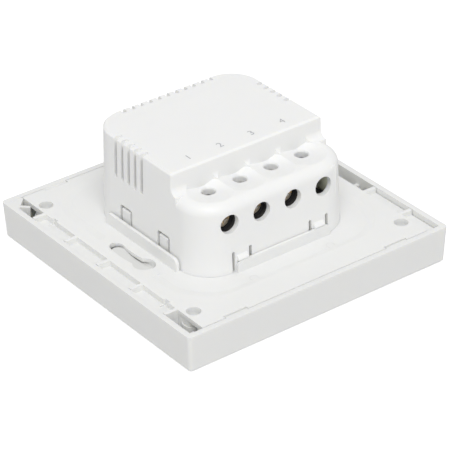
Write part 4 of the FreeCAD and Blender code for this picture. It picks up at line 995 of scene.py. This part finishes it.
@dataclass
class PowerSide(Assembly):
    """Leads, solder joints and small parts of the mains board, and the details of its components."""

    low: float = 13.0
    high: float = 14.6
    joint: float = 0.85
    lead: float = 0.28
    joints_at: tuple[Pair, ...] = (
        (-18.0, -6.0), (-13.2, -6.0), (-18.0, 4.6), (-13.2, 4.6), (-15.6, 9.8),
        (-7.0, -6.5), (-7.0, -1.5), (-7.0, 3.5), (3.0, -6.5), (3.0, -1.5), (3.0, 3.5),
        (-6.5, 17.6), (3.5, 17.6), (8.5, 16.2), (13.5, 16.2), (16.3, 8.4), (18.9, 8.4),
        (8.4, 6.0), (12.4, 6.0), (7.4, -6.9), (10.4, -6.9), (7.4, 0.1), (10.4, 0.1),
        (14.0, -9.6), (14.0, 2.4), (-16.8, 16.9), (-11.6, 16.9), (-14.955, -15.1), (-5.285, -15.1), (4.385, -15.1))
    resistors_from: Pair = (-9.8, -11.5)
    resistors_step: Pair = (2.9, 16.8)
    controller_at: Pair = (17.0, -3.5)
    controller_pitch: float = 1.27
    controller_leg: tuple[tuple[float, ...], ...] = (
        (2.2, 0.3, 0.8, 0.55, 0.05), (2.75, 0.35, 0.22, 0.0, 0.05), (2.45, 0.12, 0.78, 0.04, 0.04))
    winding_at: Point = (-2.0, -1.5, 16.5)
    lap_pitch: float = 0.74
    drum_at: Point = (10.4, 6.0, 16.02)
    turn_pitch: float = 0.415
    cans_at: tuple[tuple[float, float, float, float], ...] = ((11.0, 16.2, 4.0, 27.6), (17.6, 8.4, 3.15, 23.6))
    resistor_at: Pair = (14.0, 16.4)
    relay_foot: tuple[Pair, Pair] = ((-20.78, -8.68), (-10.42, 11.88))
    relay_lid: tuple[Pair, Pair] = ((-19.4, -6.8), (-11.8, 7.8))
    relay_top: float = 30.15
    vent_at: Pair = (-12.6, 9.6)
    varistor_y: float = 16.9
    film_foot: tuple[Pair, Pair] = ((-7.6, 15.0), (4.6, 20.2))
    film_case: tuple[Pair, Pair] = ((-8.04, 14.56), (5.04, 20.64))

    def joints(self) -> None:
        """Solder cones with clipped leads under the board."""
        shape = Shape()
        profile = [(0.0, 0.05), (self.joint, 0.05), (self.joint, -0.06), (0.62 * self.joint, -0.22),
                   (self.lead + 0.08, -0.72), (self.lead, -0.74), (self.lead - 0.05, -1.15), (0.0, -1.18)]
        for x, y in self.joints_at:
            shape.turned(profile, (x, y, self.low), steps=16)
        self.add(shape, "power_board_solder", Slot.TIN, "solder")

    def small_parts(self) -> None:
        """Chip resistors and a controller under the board, with their end caps and leads."""
        bodies, metal = Shape(), Shape()
        low = self.low
        for x, y in grid(self.resistors_from, self.resistors_step, 5, 2):
            bodies.bar(x, y, (0.7, 0.6), low - 0.55, low, 0.06)
            for side in (-0.95, 0.95):
                metal.bar(x + side, y, (0.28, 0.62), low - 0.58, low, 0.07)
        x, y = self.controller_at
        bodies.bar(x, y, (2.0, 2.5), low - 1.45, low - 0.12, 0.16)
        for step in range(4):
            row = y + self.controller_pitch * (step - 1.5)
            for side in (-1, 1):
                for out, wide, foot, top, bevel in self.controller_leg:
                    metal.bar(x + side * out, row, (wide, 0.2), low - foot, low - top, bevel)
        self.add(bodies, "power_board_chips", Slot.BLACK, "chip")
        self.add(metal, "power_board_chip_ends", Slot.TIN, "solder")

    def transformer(self) -> None:
        """Laps of film over the winding, and the bobbin's pins."""
        laps, pins = Shape(), Shape()
        for step in range(7):
            z, proud = self.lap_pitch * step, 0.04 * (step % 2)
            laps.turned([(4.25, z), (4.5 + proud, z + 0.06), (4.52 + proud, z + 0.6), (4.25, z + 0.68), (4.25, z)],
                        self.winding_at, steps=40)
        for x, way in ((-7.8, -1), (3.8, 1)):
            for y in (-6.5, -1.5, 3.5):
                pins.wire([(x - 0.5 * way, y, 15.4), (x + 0.35 * way, y, 15.4), (x + 0.35 * way, y, 14.4)], 0.25)
        self.add(laps, "winding_laps", Slot.AMBER, "film")
        self.add(pins, "bobbin_pins", Slot.TIN, "tinned")

    def coil(self) -> None:
        """Copper turns between the flanges of the drum core."""
        turns = Shape()
        for step in range(11):
            z = self.turn_pitch * step
            turns.turned([(2.72, z - 0.19), (3.02, z - 0.16), (3.16, z), (3.02, z + 0.16), (2.72, z + 0.19),
                          (2.72, z - 0.19)], self.drum_at, steps=32)
        self.add(turns, "coil_turns", Slot.BRASS, "copper")

    def cans(self) -> None:
        """Rolled rims, pressure-relief ridges and rubber feet of the can capacitors."""
        metal, feet = Shape(), Shape()
        for x, y, radius, top in self.cans_at:
            rim = radius - 0.42
            metal.turned([(rim - 0.3, top - 0.05), (rim - 0.22, top + 0.05), (rim, top + 0.06),
                          (rim + 0.04, top - 0.08), (rim - 0.3, top - 0.05)], (x, y, 0.0), steps=40)
            for angle in (0.0, math.pi / 3, 2 * math.pi / 3):
                way = Vector((math.cos(angle), math.sin(angle), 0.0)) * 0.62 * radius
                metal.wire([Vector((x, y, top)) - way, Vector((x, y, top)) + way], 0.07, 6)
            feet.turned([(0.0, 14.5), (radius - 0.25, 14.5), (radius - 0.12, 14.62), (radius - 0.3, 14.85),
                         (0.0, 14.85)], (x, y, 0.0), steps=32)
        self.add(metal, "can_rims", Slot.TIN, "solder")
        self.add(feet, "can_feet", Slot.SLEEVE, "rubber")

    def relay_case(self) -> None:
        """Foot seam, lid frame and sealed vent of the relay."""
        shape = Shape()
        shape.border(*self.relay_foot, 16.0, 16.18, 0.18, 0.05)
        shape.turned([(0.0, 0.0), (0.9, 0.0), (0.9, 0.19), (0.72, 0.27), (0.0, 0.27)],
                     (*self.vent_at, self.relay_top))
        shape.border(*self.relay_lid, self.relay_top, self.relay_top + 0.11, 0.2, 0.04)
        self.add(shape, "relay_case_lines", Slot.BLACK, "chip")

    def leads(self) -> None:
        """Bent leads of the fuse resistor, the varistor and the rectifier, and the film capacitor's fill."""
        metal, paint, fill = Shape(), Shape(), Shape()
        x, z = self.resistor_at
        for end, way in ((-7.6, -1), (0.4, 1)):
            metal.wire([(x, end - 0.4 * way, z), (x, end + 1.5 * way, z), (x, end + 2.0 * way, z - 0.5),
                        (x, end + 2.0 * way, self.high - 0.1)], 0.3)
            metal.turned([(0.0, 0.0), (1.62, 0.0), (1.84, 0.25), (1.84, 1.3), (1.70, 1.42), (0.0, 1.42)],
                         (x, end - (1.40 if way > 0 else 0.02), z), Axis.Y)
        y = self.varistor_y
        for x, way in ((-16.8, -1), (-11.6, 1)):
            paint.wire([(x - 0.9 * way, y, 16.6), (x, y, 15.5), (x, y, 14.55)], 0.42)
        for x in (7.4, 10.4):
            for y, way in ((-6.4, -1), (-0.4, 1)):
                metal.block((x - 0.35, y, 15.55), (x + 0.35, y + 0.75 * way, 15.8), 0.05)
                metal.block((x - 0.35, y + 0.5 * way, self.high), (x + 0.35, y + 0.75 * way, 15.75), 0.05)
        for (first, last), foot, top, bevel in ((self.film_foot, self.high, 14.95, 0.12),
                                                (self.film_case, 15.6, 15.74, 0.04),
                                                (self.film_case, 25.6, 25.74, 0.04)):
            fill.block((*first, foot), (*last, top), bevel)
        self.add(metal, "component_leads", Slot.TIN, "tinned")
        self.add(paint, "varistor_legs", Slot.BLUE, "lacquer")
        self.add(fill, "film_capacitor_lines", Slot.AMBER, "epoxy")

    def build(self) -> None:
        """Make every piece of the mains side."""
        self.joints()
        self.small_parts()
        self.transformer()
        self.coil()
        self.cans()
        self.relay_case()
        self.leads()


@dataclass
class ControlSide(Assembly):
    """Small parts of the control board, the radio and the push-button."""

    back: float = 7.3
    module_back: float = 8.1
    shield_back: float = 9.18
    chips_at: tuple[tuple[float, float, float, int], ...] = ((11.5, -7.0, 2.5, 8), (12.0, 14.2, 1.9, 6))
    dimples_from: Pair = (-11.3, -12.9)
    dimples_step: Pair = (2.4, 2.6)
    edges_from: Pair = (-14.0, -15.0)
    edges_step: Pair = (18.0, 1.7)
    folds_at: Pair = (-14.0, -4.14)
    keep_clear: float = 3.4
    button_y: float = -17.0
    button_face: float = 3.1

    def chips(self) -> None:
        """Controller and its neighbours on the back of the board."""
        bodies, metal, ceramic = Shape(), Shape(), Shape()
        back = self.back
        for x, y, half, pins in self.chips_at:
            bodies.bar(x, y, (half, half), back + 0.08, back + 0.95, 0.12)
            pitch = 2 * half / (pins + 1)
            for step in range(pins):
                place = -half + pitch * (step + 1)
                for out in (-half - 0.4, half + 0.4):
                    metal.bar(x + out, y + place, (0.45, 0.11), back, back + 0.16, 0.04)
                    metal.bar(x + place, y + out, (0.11, 0.45), back, back + 0.16, 0.04)
        for i in range(14):
            x, y = -16.0 + 2.3 * i, 13.0 + 1.8 * (i % 3)
            if abs(x - self.chips_at[1][0]) < self.keep_clear:
                continue
            ceramic.bar(x, y, (0.5, 0.42), back, back + 0.5, 0.07)
            for side in (-0.68, 0.68):
                metal.bar(x + side, y, (0.2, 0.44), back, back + 0.53, 0.06)
        self.add(bodies, "control_chips", Slot.BLACK, "chip")
        self.add(metal, "control_chip_ends", Slot.TIN, "solder")
        self.add(ceramic, "control_capacitors", Slot.BRASS, "ceramic")

    def radio(self) -> None:
        """Dimples and fold lines of the shield, the aerial and the module's edge joints."""
        marks, aerial, edges = Shape(), Shape(), Shape()
        for x, y in grid(self.dimples_from, self.dimples_step, 5, 4):
            marks.turned([(0.0, 0.0), (0.42, 0.0), (0.36, 0.05), (0.2, 0.09), (0.0, 0.1)],
                         (x, y, self.shield_back), steps=16)
        for y in self.folds_at:
            marks.block((-12.5, y, self.shield_back - 0.01), (-0.5, y + 0.14, self.shield_back + 0.08), 0.03)
        line = [(1.0, -15.0)]
        for step in range(6):
            x, y = 1.0 if step % 2 else 3.2, -14.4 + 2.0 * step
            line += [(x, y - 0.6), (x, y + 0.9)]
        for first, second in zip(line, line[1:]):
            low = [min(pair) - 0.16 for pair in zip(first, second)]
            high = [max(pair) + 0.16 for pair in zip(first, second)]
            aerial.block((*low, self.module_back - 0.01), (*high, self.module_back + 0.04), 0.012, 1)
        for x, y in grid(self.edges_from, self.edges_step, 2, 8):
            edges.turned([(0.0, -0.78), (0.52, -0.78), (0.4, -0.3), (0.3, 0.04), (0.0, 0.06)],
                         (x, y, self.module_back), steps=14)
        self.add(marks, "shield_dimples", Slot.TIN, "tinned")
        self.add(aerial, "radio_aerial", Slot.BRASS, "copper")
        self.add(edges, "radio_edge_joints", Slot.TIN, "solder")

    def button(self) -> None:
        """Steel cover with four rivets on the push-button, and its legs."""
        cover, rivets = Shape(), Shape()
        y, face = self.button_y, self.button_face
        cover.turned([(1.95, face - 0.14), (2.9, face - 0.14), (2.95, face - 0.08), (2.95, face), (1.95, face),
                      (1.95, face - 0.14)], (0.0, y, 0.0), steps=40)
        for sx, sy in CORNERS:
            rivets.turned([(0.0, face + 0.02), (0.42, face + 0.02), (0.42, face - 0.12), (0.26, face - 0.24),
                           (0.0, face - 0.27)], (2.45 * sx, y + 2.45 * sy, 0.0), steps=18)
            cover.bar(3.25 * sx, y + 2.2 * sy, (0.17, 0.35), 4.6, 6.3, 0.07)
        self.add(cover, "button_cover", Slot.TIN, "tinned")
        self.add(rivets, "button_rivets", Slot.BLACK, "chip")

    def build(self) -> None:
        """Make every piece of the control side."""
        self.chips()
        self.radio()
        self.button()


@dataclass
class Mouldings(Assembly):
    """Pin rings, hole collars, keyhole guides and floors, and pocket walls of the white parts."""

    dish_level: float = 9.9
    deck_level: float = 10.2
    deck_under: float = 8.92
    boss_level: float = 7.37
    shelf_level: float = 6.82
    hole: float = 1.85
    holes_at: Pair = (32.5, 31.6)
    pins_at: tuple[Pair, ...] = ((-12.0, 30.2), (12.0, 30.2), (-12.0, -28.6), (12.0, -28.6), (-30.6, 22.0),
                                 (30.2, -20.0))
    keyhole_radius: float = 30.15
    keyhole_span: Pair = (172.4, 193.3)
    floor_rise: float = 0.095
    pocket_walls: tuple[tuple[Point, Point], ...] = (
        ((-38.8, -28.65, 2.02), (-34.5, -28.05, 7.73)), ((-35.0, -30.6, 2.02), (-34.4, -28.5, 8.88)))

    def pin_marks(self) -> None:
        """Faint rings of the ejector pins on the plate."""
        shape = Shape()
        low, high = self.dish_level - 0.02, self.dish_level + 0.018
        for x, y in self.pins_at:
            shape.turned([(1.02, low), (1.02, high), (1.12, high), (1.12, low), (1.02, low)], (x, y, 0.0), steps=36)
        self.add(shape, "plate_pin_rings", Slot.WHITE, "pin_mark")

    def collars(self) -> None:
        """Collars that carry the plate's corner holes down to the frame's bosses."""
        shape = Shape()
        inner, outer = self.hole, self.hole + 0.75
        low, high = self.boss_level, self.deck_under
        for sx, sy in CORNERS:
            shape.turned([(inner, low), (inner, high), (outer, high), (outer, low + 0.15), (outer - 0.15, low),
                          (inner, low)], (self.holes_at[0] * sx, self.holes_at[1] * sy, 0.0), steps=48)
        self.add(shape, "corner_hole_collars", Slot.WHITE, "white")

    def keyhole_outline(self, reach: float, turn: float, cut: float = 0.0) -> list[Pair]:
        """Outline round a keyhole's curved middle line.

        Args:
            reach: Distance from the middle line.
            turn: How far the keyhole is turned round the origin, in degrees.
            cut: How much of the narrow end is left out, in degrees.

        Returns:
            The points, once round.
        """
        def polar(radius: float, angle: float) -> Vector:
            """Point at a distance and an angle."""
            return Vector((radius * math.cos(angle), radius * math.sin(angle)))

        middle = self.keyhole_radius
        first, last = (math.radians(angle + turn) for angle in self.keyhole_span)
        first += math.radians(cut)
        arc = [first + (last - first) * i / 12 for i in range(13)]
        cap = [math.pi * i / 12 for i in range(1, 12)]
        points = [polar(middle + reach, angle) for angle in arc]
        points += [polar(middle, last) + polar(reach, last + angle) for angle in cap]
        points += [polar(middle - reach, angle) for angle in reversed(arc)]
        points += [polar(middle, first) - polar(reach, first + angle) for angle in cap]
        return [tuple(point) for point in points]

    def guides(self) -> None:
        """Walls under the plate that guide the heads of the box screws along the keyholes."""
        shape = Shape()
        for turn in (0.0, 180.0):
            shape.fence(self.keyhole_outline(2.95, turn), self.keyhole_outline(3.5, turn), self.shelf_level,
                        self.deck_under)
        self.add(shape, "keyhole_guides", Slot.WHITE, "white")

    def floors(self) -> None:
        """Floors that rise along the keyholes and stop short of their narrow ends, in a darker white that is painted
        shade.
        """
        shape = Shape()
        head = self.keyhole_radius * math.sin(math.radians(self.keyhole_span[1]))
        low, high = self.shelf_level + 0.02, self.deck_level - 2.1
        for turn, side in ((0.0, 1.0), (180.0, -1.0)):
            shape.slab([(x, y, high + self.floor_rise * (side * y - head))
                        for x, y in self.keyhole_outline(1.8, turn, 1.5)], low)
            shape.slab([(x, y, high) for x, y in self.keyhole_outline(2.9, turn, 4.0)], low)
        self.add(shape, "keyhole_floors", Slot.WHITE, "shelf")

    def pocket(self) -> None:
        """Walls that close the near corner's pocket under the flange."""
        shape = Shape()
        for low, high in self.pocket_walls:
            shape.block(low, high, 0.1)
        self.add(shape, "corner_pocket_walls", Slot.WHITE, "white")

    def build(self) -> None:
        """Make every ring, collar, guide, floor and wall."""
        self.pin_marks()
        self.collars()
        self.guides()
        self.floors()
        self.pocket()


def main() -> None:
    """Build the studio, the finishes and the pieces."""
    logging.basicConfig(level=logging.INFO, format="%(name)s: %(message)s", force=True)
    Studio().build()
    palette = Palette()
    palette.dress()
    for assembly in (Terminals(palette), PowerSide(palette), ControlSide(palette), Mouldings(palette)):
        assembly.build()


if __name__ == "__main__":
    main()
